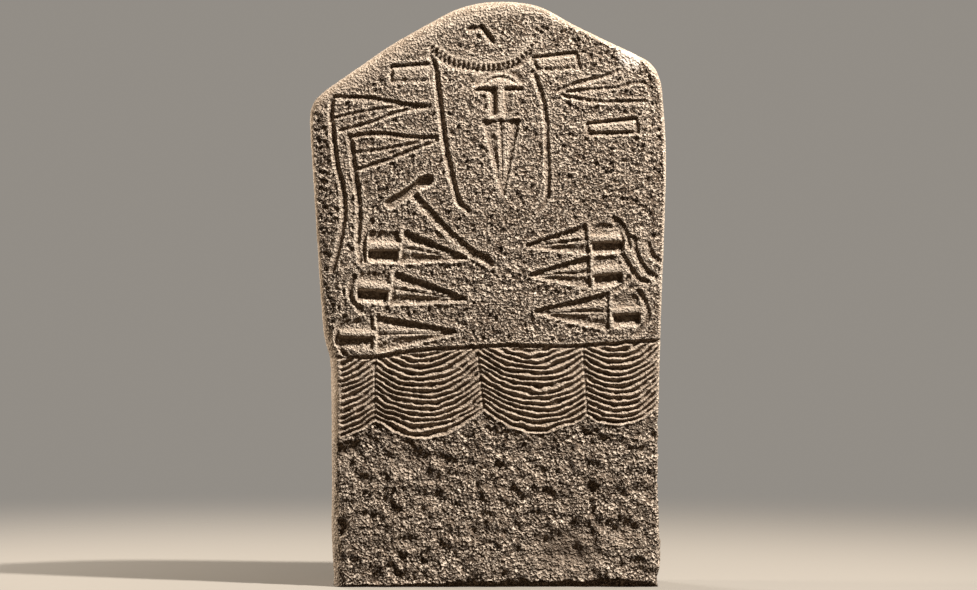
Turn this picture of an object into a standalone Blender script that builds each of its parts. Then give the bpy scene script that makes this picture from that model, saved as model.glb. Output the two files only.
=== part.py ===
"""Carved stone stele: one upright slab with the arms and dress of a figure cut into its pecked front.

Metres, +Z up. The front faces -Y, the flat underside is at Z = 0 and the origin is the underside's centre.
"""

import math
from dataclasses import dataclass

import bmesh
import bpy
from mathutils import Matrix, Vector, noise

# The slab
HEIGHT = 2.150
WIDTH = 1.312
THICKNESS = 0.340
BACK_ROUND_INSET = 0.055
BACK_ROUND_DEPTH = 0.095
SPLINE_STEPS = 2
ROUND_STEPS = 3

# The broken lower edge: how far it lifts off the ground in front, at the left and the right end, and behind
FOOT_RISE_LEFT = 0.008
FOOT_RISE_RIGHT = 0.030
FOOT_RISE_BACK = 0.022
FOOT_ROUND_DEPTH = 0.050
FOOT_POINTS = 5
FOOT_BLEND = 0.150

# The tool marks
LINE_WIDTH = 0.015
LINE_DEPTH = 0.0075
FINE_WIDTH = 0.009
FINE_DEPTH = 0.0045
OVERRUN = 0.004
LIFT = 0.0008
TOP_CLEARANCE = 0.012

# Parts that every dagger shares
GUARD_THICKNESS = 0.015
GUARD_OVERHANG = 0.012
GRIP_WIDTH = 0.034
HOLLOW_WIDTH = 0.042
HOLLOW_DEPTH = 0.013
HOLLOW_RIM_DEPTH = 0.003
POMMEL_THICKNESS = 0.034
POMMEL_SAG = 0.036
MIDRIB_SHARE = 0.88

# The necklace, a string of beads
BEAD_PITCH = 0.0190
BEAD_LENGTH = 0.033
NECKLACE_STEPS = 3

# The belt's hanging folds
FOLD_PITCH = 0.0222
FOLD_COUNT = 13
FOLD_WIDTH = 0.014
FOLD_DEPTH = 0.0070
FOLD_SAMPLES = 60
FOLD_STEP = 0.045
FOLD_END_GAP = 0.003
BELT_TOP_WIDTH = 0.020
BELT_TOP_DEPTH = 0.0090

# The rough foot under the belt: how far it lies behind the front, and its lumps as (size, depth)
FOOT_DEPTH = 0.009
FOOT_LEAST_DEPTH = 0.003
FOOT_LUMPS = ((0.210, 0.010), (0.085, 0.008))
FOOT_GAP = 0.014
FOOT_ROWS = 11
FOOT_PANEL_COLUMNS = 8
FOOT_CLEARANCE = 0.040

STONE_COLOUR = (0.36, 0.30, 0.235, 1.0)
STONE_ROUGHNESS = 0.92

# Places on the front are shares: across from -1 at the left to 1 at the right, up from 0 to 1 at the top.
# Outline: across, up, inset of the worn arris in metres, depth over which it rounds in metres.
OUTLINE = (
    (-0.868, 0.000, 0.029, 0.120),
    (-0.885, 0.085, 0.033, 0.150),
    (-0.885, 0.200, 0.033, 0.150),
    (-0.888, 0.318, 0.037, 0.150),
    (-0.893, 0.386, 0.038, 0.120),
    (-0.921, 0.424, 0.034, 0.070),
    (-0.938, 0.489, 0.026, 0.045),
    (-0.960, 0.590, 0.020, 0.040),
    (-0.992, 0.746, 0.018, 0.040),
    (-1.000, 0.797, 0.022, 0.045),
    (-0.986, 0.823, 0.029, 0.050),
    (-0.930, 0.844, 0.037, 0.060),
    (-0.801, 0.872, 0.037, 0.060),
    (-0.550, 0.924, 0.038, 0.060),
    (-0.313, 0.966, 0.040, 0.060),
    (-0.184, 0.986, 0.044, 0.060),
    (-0.055, 0.997, 0.044, 0.060),
    (0.069, 1.000, 0.040, 0.055),
    (0.192, 0.998, 0.033, 0.050),
    (0.321, 0.988, 0.026, 0.045),
    (0.489, 0.959, 0.022, 0.040),
    (0.826, 0.910, 0.022, 0.040),
    (0.916, 0.893, 0.026, 0.040),
    (0.961, 0.870, 0.022, 0.035),
    (0.983, 0.831, 0.018, 0.030),
    (1.000, 0.700, 0.015, 0.030),
    (0.975, 0.472, 0.015, 0.030),
    (0.961, 0.301, 0.015, 0.030),
    (0.962, 0.150, 0.018, 0.035),
    (0.975, 0.050, 0.022, 0.045),
    (0.955, 0.000, 0.026, 0.050),
)


@dataclass
class Dagger:
    """A dagger by its guard's middle, its blade and its hilt. Turns are degrees from +X towards +Z."""

    guard: tuple
    blade_turn: float
    blade_length: float
    blade_width: float
    hilt_turn: float
    hilt_length: float
    pommel_width: float


DAGGERS = {
    "breast": Dagger((0.074, 0.799), -88.5, 0.276, 0.125, 90.7, 0.162, 0.169),
    "left_top": Dagger((-0.487, 0.580), -10.1, 0.232, 0.107, 178.6, 0.147, 0.147),
    "left_middle": Dagger((-0.543, 0.510), -8.7, 0.268, 0.110, 175.7, 0.147, 0.132),
    "left_low": Dagger((-0.627, 0.431), 1.5, 0.283, 0.121, 178.6, 0.151, 0.140),
    "right_top": Dagger((0.568, 0.593), -173.8, 0.222, 0.096, 2.9, 0.144, 0.140),
    "right_middle": Dagger((0.579, 0.537), -177.1, 0.217, 0.103, 6.0, 0.140, 0.125),
    "right_low": Dagger((0.686, 0.470), -179.6, 0.265, 0.125, 3.8, 0.140, 0.147),
}


@dataclass
class Halberd:
    """A halberd by its blade's point, the blade's two corners at the shaft, and the shaft's line."""

    point: tuple
    upper: tuple
    lower: tuple
    ribs: tuple
    shaft: tuple


HALBERDS = {
    "left_outer": Halberd(
        (-0.341, 0.819),
        (-0.863, 0.833),
        (-0.851, 0.778),
        (0.50,),
        (
            (-0.863, 0.833),
            (-0.863, 0.800),
            (-0.840, 0.746),
            (-0.805, 0.670),
            (-0.812, 0.592),
            (-0.857, 0.540),
        ),
    ),
    "left_inner": Halberd(
        (-0.279, 0.764),
        (-0.767, 0.771),
        (-0.750, 0.713),
        (0.48, 0.72),
        ((-0.767, 0.771), (-0.750, 0.713), (-0.724, 0.675), (-0.719, 0.610), (-0.711, 0.554)),
    ),
    "right": Halberd(
        (0.383, 0.843),
        (0.790, 0.893),
        (0.899, 0.826),
        (0.48,),
        ((0.905, 0.858), (0.910, 0.780), (0.899, 0.694), (0.854, 0.634)),
    ),
}


@dataclass
class AxeBlade:
    """A flat axe's blade, cut as an oblong: its middle, length, height and turn."""

    centre: tuple
    length: float
    height: float
    turn: float


AXE_BLADES = {
    "left": AxeBlade((-0.431, 0.877), 0.147, 0.050, 2.5),
    "right_upper": AxeBlade((0.383, 0.896), 0.165, 0.055, 5.0),
    "right_lower": AxeBlade((0.691, 0.784), 0.184, 0.052, 6.0),
}

HAFTED_AXE_HEAD = ((-0.537, 0.653), (-0.335, 0.691))
HAFTED_AXE_HEAD_WIDTH = 0.038
HAFTED_AXE_HEAD_DEPTH = 0.013
HAFTED_AXE_SHAFT = ((-0.425, 0.674), (-0.324, 0.638), (-0.212, 0.602), (-0.100, 0.573), (0.013, 0.552))
HAFT_WIDTH = 0.022
HAFT_DEPTH = 0.010

# The figure: the edges of the cloak, the brow with the nose, and the string of the necklace
CLOAK_LEFT = (
    (-0.330, 0.906),
    (-0.296, 0.889),
    (-0.285, 0.857),
    (-0.245, 0.763),
    (-0.184, 0.674),
    (-0.111, 0.643),
)
CLOAK_RIGHT = ((0.271, 0.879), (0.316, 0.817), (0.338, 0.746), (0.338, 0.660))
CLOAK_HOOK = ((0.310, 0.650), (0.259, 0.638))
CLOAK_WIDTH = 0.018
CLOAK_DEPTH = 0.010
BROW = ((-0.144, 0.949), (-0.032, 0.952))
NOSE = ((-0.037, 0.955), (0.024, 0.927))
NECKLACE = (
    (-0.324, 0.932),
    (-0.234, 0.910),
    (-0.122, 0.894),
    (0.013, 0.887),
    (0.125, 0.893),
    (0.215, 0.912),
    (0.304, 0.958),
)

# Curved strokes by the right edge
EDGE_STROKES = (
    ((0.815, 0.590), (0.832, 0.571), (0.865, 0.554), (0.910, 0.540)),
    ((0.888, 0.583), (0.910, 0.568), (0.950, 0.556)),
    ((0.753, 0.571), (0.776, 0.554), (0.809, 0.540)),
    ((0.854, 0.527), (0.899, 0.518)),
)

# The belt's upper line, and how far its folds reach across
BELT_TOP = (
    (-0.846, 0.390),
    (-0.604, 0.392),
    (-0.324, 0.398),
    (-0.043, 0.408),
    (0.114, 0.413),
    (0.237, 0.406),
    (0.518, 0.410),
    (0.955, 0.418),
)
BELT_LEFT = -0.825
BELT_RIGHT = 0.957

# The belt's panels lie between these edges, each by its lower and upper end; inner edges are cut as lines
PANEL_EDGES = (
    ((-1.210, 0.286), (-1.210, 0.390)),
    ((-0.627, 0.286), (-0.627, 0.392)),
    ((-0.021, 0.303), (-0.058, 0.405)),
    ((0.557, 0.296), (0.534, 0.409)),
    ((0.972, 0.320), (0.972, 0.419)),
)
PANEL_SAGS = (0.077, 0.079, 0.072, 0.061)
PANEL_LINE_WIDTH = 0.012
PANEL_LINE_DEPTH = 0.0060


@dataclass
class Scoop:
    """A place where the foot has broken away: its middle, half its width and height, and its depth."""

    centre: tuple
    half_width: float
    half_height: float
    depth: float


SCOOPS = (
    Scoop((0.461, 0.050), 0.132, 0.096, 0.034),
    Scoop((0.753, 0.087), 0.103, 0.046, 0.022),
    Scoop((-0.773, 0.229), 0.051, 0.044, 0.018),
    Scoop((-0.453, 0.224), 0.066, 0.051, 0.014),
    Scoop((0.574, 0.238), 0.129, 0.029, 0.012),
    Scoop((0.069, 0.224), 0.092, 0.029, 0.012),
    Scoop((0.200, 0.152), 0.120, 0.031, 0.014),
    Scoop((-0.810, 0.065), 0.036, 0.040, 0.016),
    Scoop((-0.436, 0.087), 0.050, 0.032, 0.012),
    Scoop((-0.088, 0.045), 0.060, 0.035, 0.012),
    Scoop((-0.300, 0.150), 0.105, 0.044, 0.010),
)


def place(share):
    """A place on the front, in metres, from its shares across and up."""
    across, up = share[0], share[1]
    return Vector((across * WIDTH / 2, up * HEIGHT))


def heading(degrees):
    """The unit vector on the front that points that way."""
    turn = math.radians(degrees)
    return Vector((math.cos(turn), math.sin(turn)))


def square_to(direction):
    return Vector((-direction.y, direction.x))


def smooth_through(points, steps):
    """Points on a Catmull-Rom curve through the given ones, with so many steps between each two."""
    points = [Vector(p) for p in points]
    ends = [2 * points[0] - points[1], *points, 2 * points[-1] - points[-2]]
    found = []
    for a, b, c, d in zip(ends, ends[1:], ends[2:], ends[3:]):
        for step in range(steps):
            t = step / steps
            bend = (2 * a - 5 * b + 4 * c - d) * t**2 + (3 * b - 3 * c + d - a) * t**3
            found.append((2 * b + (c - a) * t + bend) / 2)
    return [*found, points[-1]]


def evenly_along(points, pitch):
    """(point, direction) at every pitch along the line of points."""
    found = []
    left = pitch / 2
    for start, end in zip(points, points[1:]):
        run = end - start
        length = run.length
        while left < length:
            found.append((start + run * (left / length), run / length))
            left += pitch
        left -= length
    return found


def height_on(line, x):
    """The height of a left-to-right line at x."""
    for start, end in zip(line, line[1:]):
        if start.x <= x <= end.x:
            return start.y + (end.y - start.y) * (x - start.x) / (end.x - start.x)
    return line[0].y if x < line[0].x else line[-1].y


@dataclass
class Stroke:
    """A line cut with a pointed chisel."""

    points: list
    width: float = LINE_WIDTH
    depth: float = LINE_DEPTH


@dataclass
class Hollow:
    """A pocket beside a grip: its near edge's middle, its ways along the grip and out, and its length."""

    near: Vector
    along: Vector
    out: Vector
    length: float


def fine_stroke(*points):
    return Stroke(list(points), FINE_WIDTH, FINE_DEPTH)


def edge_pair(first, second, point):
    """The two edges of a blade: one is struck a little past the point, the other stops a little short."""
    past = point + (point - first).normalized() * OVERRUN
    short = point - (point - second).normalized() * OVERRUN
    return [Stroke([first, past]), Stroke([second, short])]


def dagger_marks(dagger):
    """The strokes and the two hollows that leave a dagger standing in the stone."""
    guard = place(dagger.guard)
    blade = heading(dagger.blade_turn)
    side = square_to(blade)
    hilt = heading(dagger.hilt_turn)
    hilt_side = square_to(hilt)
    tip = guard + blade * dagger.blade_length
    base = guard + blade * GUARD_THICKNESS / 2
    corners = [base + side * dagger.blade_width / 2, base - side * dagger.blade_width / 2]
    strokes = edge_pair(corners[0], corners[1], tip)
    guard_reach = side * (dagger.blade_width / 2 + GUARD_OVERHANG)
    strokes.append(fine_stroke(base + guard_reach, base - guard_reach))
    strokes.append(fine_stroke(base.lerp(tip, 1 - MIDRIB_SHARE), base.lerp(tip, MIDRIB_SHARE)))
    crest = [
        guard
        + hilt * (dagger.hilt_length - POMMEL_SAG * share**2)
        + hilt_side * share * dagger.pommel_width / 2
        for share in (-1, -0.6, -0.2, 0.2, 0.6, 1)
    ]
    strokes.append(Stroke(crest))
    near = guard + hilt * GUARD_THICKNESS / 2
    length = dagger.hilt_length - POMMEL_THICKNESS - GUARD_THICKNESS / 2
    hollows = [
        Hollow(near + hilt * length / 2 + out * GRIP_WIDTH / 2, hilt, out, length)
        for out in (hilt_side, -hilt_side)
    ]
    return strokes, hollows


def halberd_marks(halberd):
    """The blade's outline and ribs, and the shaft."""
    point, upper, lower = place(halberd.point), place(halberd.upper), place(halberd.lower)
    strokes = edge_pair(upper, lower, point)
    for share in halberd.ribs:
        foot = upper.lerp(lower, share)
        strokes.append(fine_stroke(foot.lerp(point, 1 - MIDRIB_SHARE), foot.lerp(point, MIDRIB_SHARE)))
    strokes.append(Stroke(smooth_through([place(p) for p in halberd.shaft], SPLINE_STEPS)))
    return strokes


def axe_blade_marks(axe):
    """The four sides of an axe's blade."""
    centre = place(axe.centre)
    along = heading(axe.turn) * axe.length / 2
    rise = square_to(heading(axe.turn)) * axe.height / 2
    corners = [centre - along + rise, centre + along + rise, centre + along - rise, centre - along - rise]
    return [Stroke([a, b]) for a, b in zip(corners, [*corners[1:], corners[0]])]


def hafted_axe_marks():
    """An axe on its handle: one broad stroke for the head and one long stroke for the handle."""
    return [
        Stroke([place(p) for p in HAFTED_AXE_HEAD], HAFTED_AXE_HEAD_WIDTH, HAFTED_AXE_HEAD_DEPTH),
        Stroke([place(p) for p in HAFTED_AXE_SHAFT], HAFT_WIDTH, HAFT_DEPTH),
    ]


def figure_marks():
    """Cloak edges, brow and nose, and the curved strokes by the right edge."""
    strokes = [
        Stroke(smooth_through([place(p) for p in line], SPLINE_STEPS), CLOAK_WIDTH, CLOAK_DEPTH)
        for line in (CLOAK_LEFT, CLOAK_RIGHT)
    ]
    strokes += [Stroke([place(p) for p in line], CLOAK_WIDTH, CLOAK_DEPTH) for line in (CLOAK_HOOK, NOSE)]
    strokes.append(Stroke([place(p) for p in BROW]))
    strokes += [fine_stroke(*(place(p) for p in line)) for line in EDGE_STROKES]
    return strokes


def necklace_marks():
    """Two lines with a cut across them between each two beads."""
    string = smooth_through([place(p) for p in NECKLACE], NECKLACE_STEPS)
    ways = [(b - a).normalized() for a, b in zip(string, [*string[1:], 2 * string[-1] - string[-2]])]
    strokes = [
        Stroke([p + square_to(way) * side * BEAD_LENGTH / 2 for p, way in zip(string, ways)])
        for side in (-1, 1)
    ]
    for p, way in evenly_along(string, BEAD_PITCH):
        reach = square_to(way) * BEAD_LENGTH / 2
        strokes.append(fine_stroke(p - reach, p + reach))
    return strokes


def edge_spot(edge, lift):
    """The spot on a panel's edge at the given height above its lower end."""
    foot, top = place(edge[0]), place(edge[1])
    return foot.lerp(top, lift / (top.y - foot.y))


def hung_line(panel, lift, steps, end_gap=0):
    """The curve hung between the edges of the numbered panel, at a height above their lower ends."""
    left, right = edge_spot(PANEL_EDGES[panel], lift), edge_spot(PANEL_EDGES[panel + 1], lift)
    short = end_gap / (right.x - left.x)
    line = []
    for step in range(steps + 1):
        share = short + (1 - 2 * short) * step / steps
        line.append(left.lerp(right, share) - Vector((0, 4 * PANEL_SAGS[panel] * share * (1 - share))))
    return line


def fold_line(panel, index, belt_top):
    """One fold's line, counted from the lowest up, where it is under the belt's upper line."""
    left, right = place((BELT_LEFT, 0)).x, place((BELT_RIGHT, 0)).x
    inside = [
        p
        for p in hung_line(panel, index * FOLD_PITCH, FOLD_SAMPLES, FOLD_END_GAP)
        if left <= p.x <= right and p.y < height_on(belt_top, p.x) - FOLD_PITCH / 3
    ]
    if len(inside) < 2:
        return []
    pieces = max(2, round((inside[-1].x - inside[0].x) / FOLD_STEP))
    return [inside[round(piece * (len(inside) - 1) / pieces)] for piece in range(pieces + 1)]


def belt_marks():
    """The belt's upper line, the lines between its panels, and every fold."""
    belt_top = [place(p) for p in BELT_TOP]
    strokes = [Stroke(belt_top, BELT_TOP_WIDTH, BELT_TOP_DEPTH)]
    for edge in PANEL_EDGES[1:-1]:
        ends = [edge_spot(edge, 0), place(edge[1])]
        strokes.append(Stroke(ends, PANEL_LINE_WIDTH, PANEL_LINE_DEPTH))
    for panel in range(len(PANEL_SAGS)):
        for index in range(FOLD_COUNT):
            line = fold_line(panel, index, belt_top)
            if line:
                strokes.append(Stroke(line, FOLD_WIDTH, FOLD_DEPTH))
    return strokes


def front_matrix():
    """Takes a drawing in X and Y, with Z out of the stone, to the front face."""
    return Matrix.Translation((0, -THICKNESS / 2, 0)) @ Matrix.Rotation(math.radians(90), 4, "X")


def add_cutter(name, mesh, collection):
    cutter = bpy.data.objects.new(name, mesh)
    cutter.hide_render = True
    cutter.display_type = "WIRE"
    collection.objects.link(cutter)
    return cutter


def cut_stroke(name, stroke, collection):
    """A cutter for a stroke: a four-sided tube, one corner down, flattened to the stroke's depth."""
    curve = bpy.data.curves.new(name, "CURVE")
    curve.dimensions = "3D"
    curve.twist_mode = "Z_UP"
    curve.bevel_depth = 1.0
    curve.bevel_resolution = 0
    curve.use_fill_caps = True
    spline = curve.splines.new("POLY")
    spline.points.add(len(stroke.points) - 1)
    for spot, p in zip(spline.points, stroke.points):
        spot.co = (p.x, p.y, 0, 1)
        spot.radius = stroke.width / 2
    drawn = bpy.data.objects.new(name, curve)
    collection.objects.link(drawn)
    graph = bpy.context.evaluated_depsgraph_get()
    mesh = bpy.data.meshes.new_from_object(drawn.evaluated_get(graph))
    bpy.data.objects.remove(drawn)
    bpy.data.curves.remove(curve)
    flatten = Matrix.Diagonal((1, 1, stroke.depth / (stroke.width / 2), 1))
    mesh.transform(front_matrix() @ Matrix.Translation((0, 0, LIFT)) @ flatten)
    shape = bmesh.new()
    shape.from_mesh(mesh)
    bmesh.ops.remove_doubles(shape, verts=shape.verts, dist=0.00005)
    bmesh.ops.recalc_face_normals(shape, faces=shape.faces)
    shape.to_mesh(mesh)
    shape.free()
    return add_cutter(name, mesh, collection)


def cut_hollow(name, hollow, collection):
    """A cutter for a hollow: a box whose floor rises away from the grip."""
    shape = bmesh.new()
    bmesh.ops.create_cube(shape, size=1)
    for corner in shape.verts:
        out = corner.co.y + 0.5
        floor = HOLLOW_DEPTH + (HOLLOW_RIM_DEPTH - HOLLOW_DEPTH) * out
        p = hollow.near + hollow.along * corner.co.x * hollow.length + hollow.out * out * HOLLOW_WIDTH
        corner.co = (p.x, p.y, TOP_CLEARANCE if corner.co.z > 0 else -floor)
    shape.normal_update()
    bmesh.ops.recalc_face_normals(shape, faces=shape.faces)
    mesh = bpy.data.meshes.new(name)
    shape.to_mesh(mesh)
    shape.free()
    mesh.transform(front_matrix())
    return add_cutter(name, mesh, collection)


def foot_depth(spot):
    """How far the rough foot lies behind the front at one spot: hammered lumps, and the named scoops."""
    lumps = sum(
        noise.noise(Vector((spot.x, spot.y, seed)) / size) * depth
        for seed, (size, depth) in enumerate(FOOT_LUMPS)
    )
    depth = FOOT_DEPTH + lumps
    for scoop in SCOOPS:
        away = spot - place(scoop.centre)
        reach = (away.x / scoop.half_width) ** 2 + (away.y / scoop.half_height) ** 2
        depth += scoop.depth * max(0, 1 - reach)
    return max(depth, FOOT_LEAST_DEPTH)


def cut_foot(name, collection):
    """A cutter for the rough foot: a grid hammered into lumps and thickened forwards."""
    edge = []
    for panel in range(len(PANEL_SAGS)):
        edge += hung_line(panel, -FOOT_GAP, FOOT_PANEL_COLUMNS)[:-1]
    edge.append(edge[-1] + Vector((FOOT_CLEARANCE * 2, 0)))
    shape = bmesh.new()
    bmesh.ops.create_grid(shape, x_segments=len(edge) - 1, y_segments=FOOT_ROWS, size=0.5)
    for corner in shape.verts:
        top = edge[round((corner.co.x + 0.5) * (len(edge) - 1))]
        spot = Vector((top.x, -FOOT_CLEARANCE)).lerp(top, corner.co.y + 0.5)
        corner.co = (spot.x, spot.y, -foot_depth(spot))
    thickened = bmesh.ops.extrude_face_region(shape, geom=list(shape.faces))
    for item in thickened["geom"]:
        if isinstance(item, bmesh.types.BMVert):
            item.co.z = TOP_CLEARANCE
    shape.normal_update()
    bmesh.ops.recalc_face_normals(shape, faces=shape.faces)
    mesh = bpy.data.meshes.new(name)
    shape.to_mesh(mesh)
    shape.free()
    mesh.transform(front_matrix())
    return add_cutter(name, mesh, collection)


def ring(outline, reach, depth_share, front):
    """The outline drawn in from the slab's silhouette, at one depth of the rounding in front or behind."""
    found = []
    count = len(outline)
    for i, here in enumerate(outline):
        spot = Vector(here[:2])
        to_spot = (spot - Vector(outline[i - 1][:2])).normalized()
        from_spot = (Vector(outline[(i + 1) % count][:2]) - spot).normalized()
        way = (to_spot + from_spot).normalized()
        inset, depth = (here[2], here[3]) if front else (BACK_ROUND_INSET, BACK_ROUND_DEPTH)
        inward = Vector((way.y, -way.x)) * inset / way.dot(to_spot)
        near_foot = max(0, 1 - spot.y / FOOT_BLEND)
        rightness = spot.x / WIDTH + 0.5
        rise = FOOT_RISE_LEFT + (FOOT_RISE_RIGHT - FOOT_RISE_LEFT) * rightness if front else FOOT_RISE_BACK
        x = spot.x + inward.x * reach
        z = spot.y + (inward.y * (1 - near_foot) + rise * near_foot) * reach
        y = depth * depth_share - THICKNESS / 2 if front else THICKNESS / 2 - depth * depth_share
        found.append((x, y, z))
    return found


def slab_outline():
    """The silhouette in metres, up the left side, over the top and down the right, then along the foot."""
    sized = [(*place(p), p[2], p[3]) for p in OUTLINE]
    edge = [tuple(p) for p in smooth_through(sized, SPLINE_STEPS)]
    middle = (min(p[0] for p in edge) + max(p[0] for p in edge)) / 2
    spread = WIDTH / (max(p[0] for p in edge) - min(p[0] for p in edge))
    rise = HEIGHT / max(p[1] for p in edge)
    edge = [((x - middle) * spread, z * rise, inset, depth) for x, z, inset, depth in edge]
    left, right = edge[0][0], edge[-1][0]
    for point in range(1, FOOT_POINTS):
        edge.append((right + (left - right) * point / FOOT_POINTS, 0, 0, FOOT_ROUND_DEPTH))
    return edge


def make_slab(collection):
    """The uncarved slab: rings of the outline joined from the front face to the back face."""
    outline = slab_outline()
    turns = [math.radians(90 * step / ROUND_STEPS) for step in range(ROUND_STEPS + 1)]
    rings = [ring(outline, 1 - math.sin(turn), 1 - math.cos(turn), True) for turn in turns]
    rings += [ring(outline, 1 - math.sin(turn), 1 - math.cos(turn), False) for turn in reversed(turns)]
    shape = bmesh.new()
    loops = [[shape.verts.new(p) for p in points] for points in rings]
    for front, back in zip(loops, loops[1:]):
        for i in range(len(front)):
            shape.faces.new((front[i - 1], front[i], back[i], back[i - 1]))
    shape.faces.new(loops[0])
    shape.faces.new(loops[-1][::-1])
    bmesh.ops.remove_doubles(shape, verts=shape.verts, dist=0.00005)
    bmesh.ops.recalc_face_normals(shape, faces=shape.faces)
    mesh = bpy.data.meshes.new("stele")
    shape.to_mesh(mesh)
    shape.free()
    slab = bpy.data.objects.new("stele", mesh)
    collection.objects.link(slab)
    return slab


def stone_material():
    material = bpy.data.materials.new("pecked_marble")
    material.use_nodes = True
    shader = material.node_tree.nodes["Principled BSDF"]
    shader.inputs["Base Color"].default_value = STONE_COLOUR
    shader.inputs["Roughness"].default_value = STONE_ROUGHNESS
    shader.inputs["Metallic"].default_value = 0.0
    return material


def main():
    for thing in list(bpy.data.objects):
        bpy.data.objects.remove(thing)
    parts = bpy.data.collections.new("carved_stele")
    cutters = bpy.data.collections.new("chisel_cutters")
    for collection in (parts, cutters):
        bpy.context.scene.collection.children.link(collection)
    cutters.hide_render = True

    slab = make_slab(parts)
    slab.data.materials.append(stone_material())

    strokes, hollows = [], []
    for dagger in DAGGERS.values():
        lines, pockets = dagger_marks(dagger)
        strokes += lines
        hollows += pockets
    for halberd in HALBERDS.values():
        strokes += halberd_marks(halberd)
    for axe in AXE_BLADES.values():
        strokes += axe_blade_marks(axe)
    strokes += hafted_axe_marks() + figure_marks() + necklace_marks() + belt_marks()
    for number, stroke in enumerate(strokes):
        cut_stroke(f"stroke_{number:03d}", stroke, cutters)
    for number, hollow in enumerate(hollows):
        cut_hollow(f"hollow_{number:02d}", hollow, cutters)
    cut_foot("foot", cutters)

    carve = slab.modifiers.new("carving", "BOOLEAN")
    carve.operation = "DIFFERENCE"
    carve.operand_type = "COLLECTION"
    carve.collection = cutters


main()
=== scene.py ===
# %% [markdown]
# # A carved stone stele
#
# This lesson dresses one real object: an upright slab of stone, over two metres high, whose front was pecked flat and
# then carved with a set of weapons, a string of beads, a cloak and a folded belt. It is one stone, so it ends as one
# closed mesh. A mason works from the block inwards, and so does this script: first the block's outline, then the
# worn edges, then every tool mark as a depth behind the front, and last the pecked grain and the colour.

# %% Load the frame
import math

import bmesh
import bpy
import numpy as np
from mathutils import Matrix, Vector


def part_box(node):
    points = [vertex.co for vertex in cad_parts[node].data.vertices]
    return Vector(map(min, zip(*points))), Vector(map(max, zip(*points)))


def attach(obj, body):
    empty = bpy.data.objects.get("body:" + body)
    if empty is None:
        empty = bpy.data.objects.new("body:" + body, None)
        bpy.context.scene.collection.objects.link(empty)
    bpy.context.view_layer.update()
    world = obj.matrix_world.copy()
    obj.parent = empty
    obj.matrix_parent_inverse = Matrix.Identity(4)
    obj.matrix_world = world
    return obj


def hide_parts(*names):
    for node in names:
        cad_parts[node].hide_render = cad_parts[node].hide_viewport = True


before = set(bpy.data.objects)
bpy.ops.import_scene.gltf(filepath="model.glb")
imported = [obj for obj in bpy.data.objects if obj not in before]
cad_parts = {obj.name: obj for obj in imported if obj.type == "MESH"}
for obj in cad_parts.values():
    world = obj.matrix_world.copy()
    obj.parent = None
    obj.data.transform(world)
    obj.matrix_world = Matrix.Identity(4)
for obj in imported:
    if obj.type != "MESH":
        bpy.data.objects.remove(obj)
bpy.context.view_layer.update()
LOW, HIGH = (np.array(corner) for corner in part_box("stele"))
WIDTH, THICKNESS, HEIGHT = HIGH - LOW
FRONT, BACK = LOW[1], HIGH[1]
print(f"the slab is {WIDTH:.3f} m wide, {THICKNESS:.3f} m thick and {HEIGHT:.3f} m high")

# %% [markdown]
# ## Places on the stone
#
# A carver who copies a drawing onto a block measures in shares of the block, not in millimetres. Places on the front
# are given the same way: across runs from -1 at the left edge to 1 at the right one, and up from 0 at the ground to 1
# at the top. The tool marks themselves keep real sizes, because a chisel is as wide on a small stone as on a big one.


# %% Turn shares into metres
def place(spots):
    """Places on the front in metres, as rows of x and z, from rows of across and up."""
    spots = np.atleast_2d(np.array(spots, float))[:, :2]
    return spots * (WIDTH / 2, HEIGHT)


def smooth_through(rows, steps):
    """Rows of numbers on a Catmull-Rom curve through the given rows."""
    rows = np.array(rows, float)
    rows = np.vstack([2 * rows[0] - rows[1], rows, 2 * rows[-1] - rows[-2]])
    t = (np.arange(steps) / steps)[:, None]
    spans = []
    for a, b, c, d in zip(rows, rows[1:], rows[2:], rows[3:]):
        bend = (2 * a - 5 * b + 4 * c - d) * t**2 + (3 * b - 3 * c + d - a) * t**3
        spans.append((2 * b + (c - a) * t + bend) / 2)
    return np.vstack([*spans, rows[-2:-1]])


def eased(share):
    """A smooth step from 0 to 1."""
    share = np.clip(share, 0, 1)
    return share * share * (3 - 2 * share)


# %% [markdown]
# ## The outline and the worn edge
#
# The slab has a gabled top, a shoulder on each side, and a notch at the left where the wall of the stone steps in
# beside the belt. The edge between front and side is worn round, more on the left slope of the gable than on the
# right, and beside the belt and the foot the left side leans, so that it shows as a smooth band. Each row holds a
# place on the silhouette, how far in the worn edge starts, and how deep it runs back. A spline through about thirty
# rows is enough, and it is easier to correct than a drawn mesh.

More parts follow.
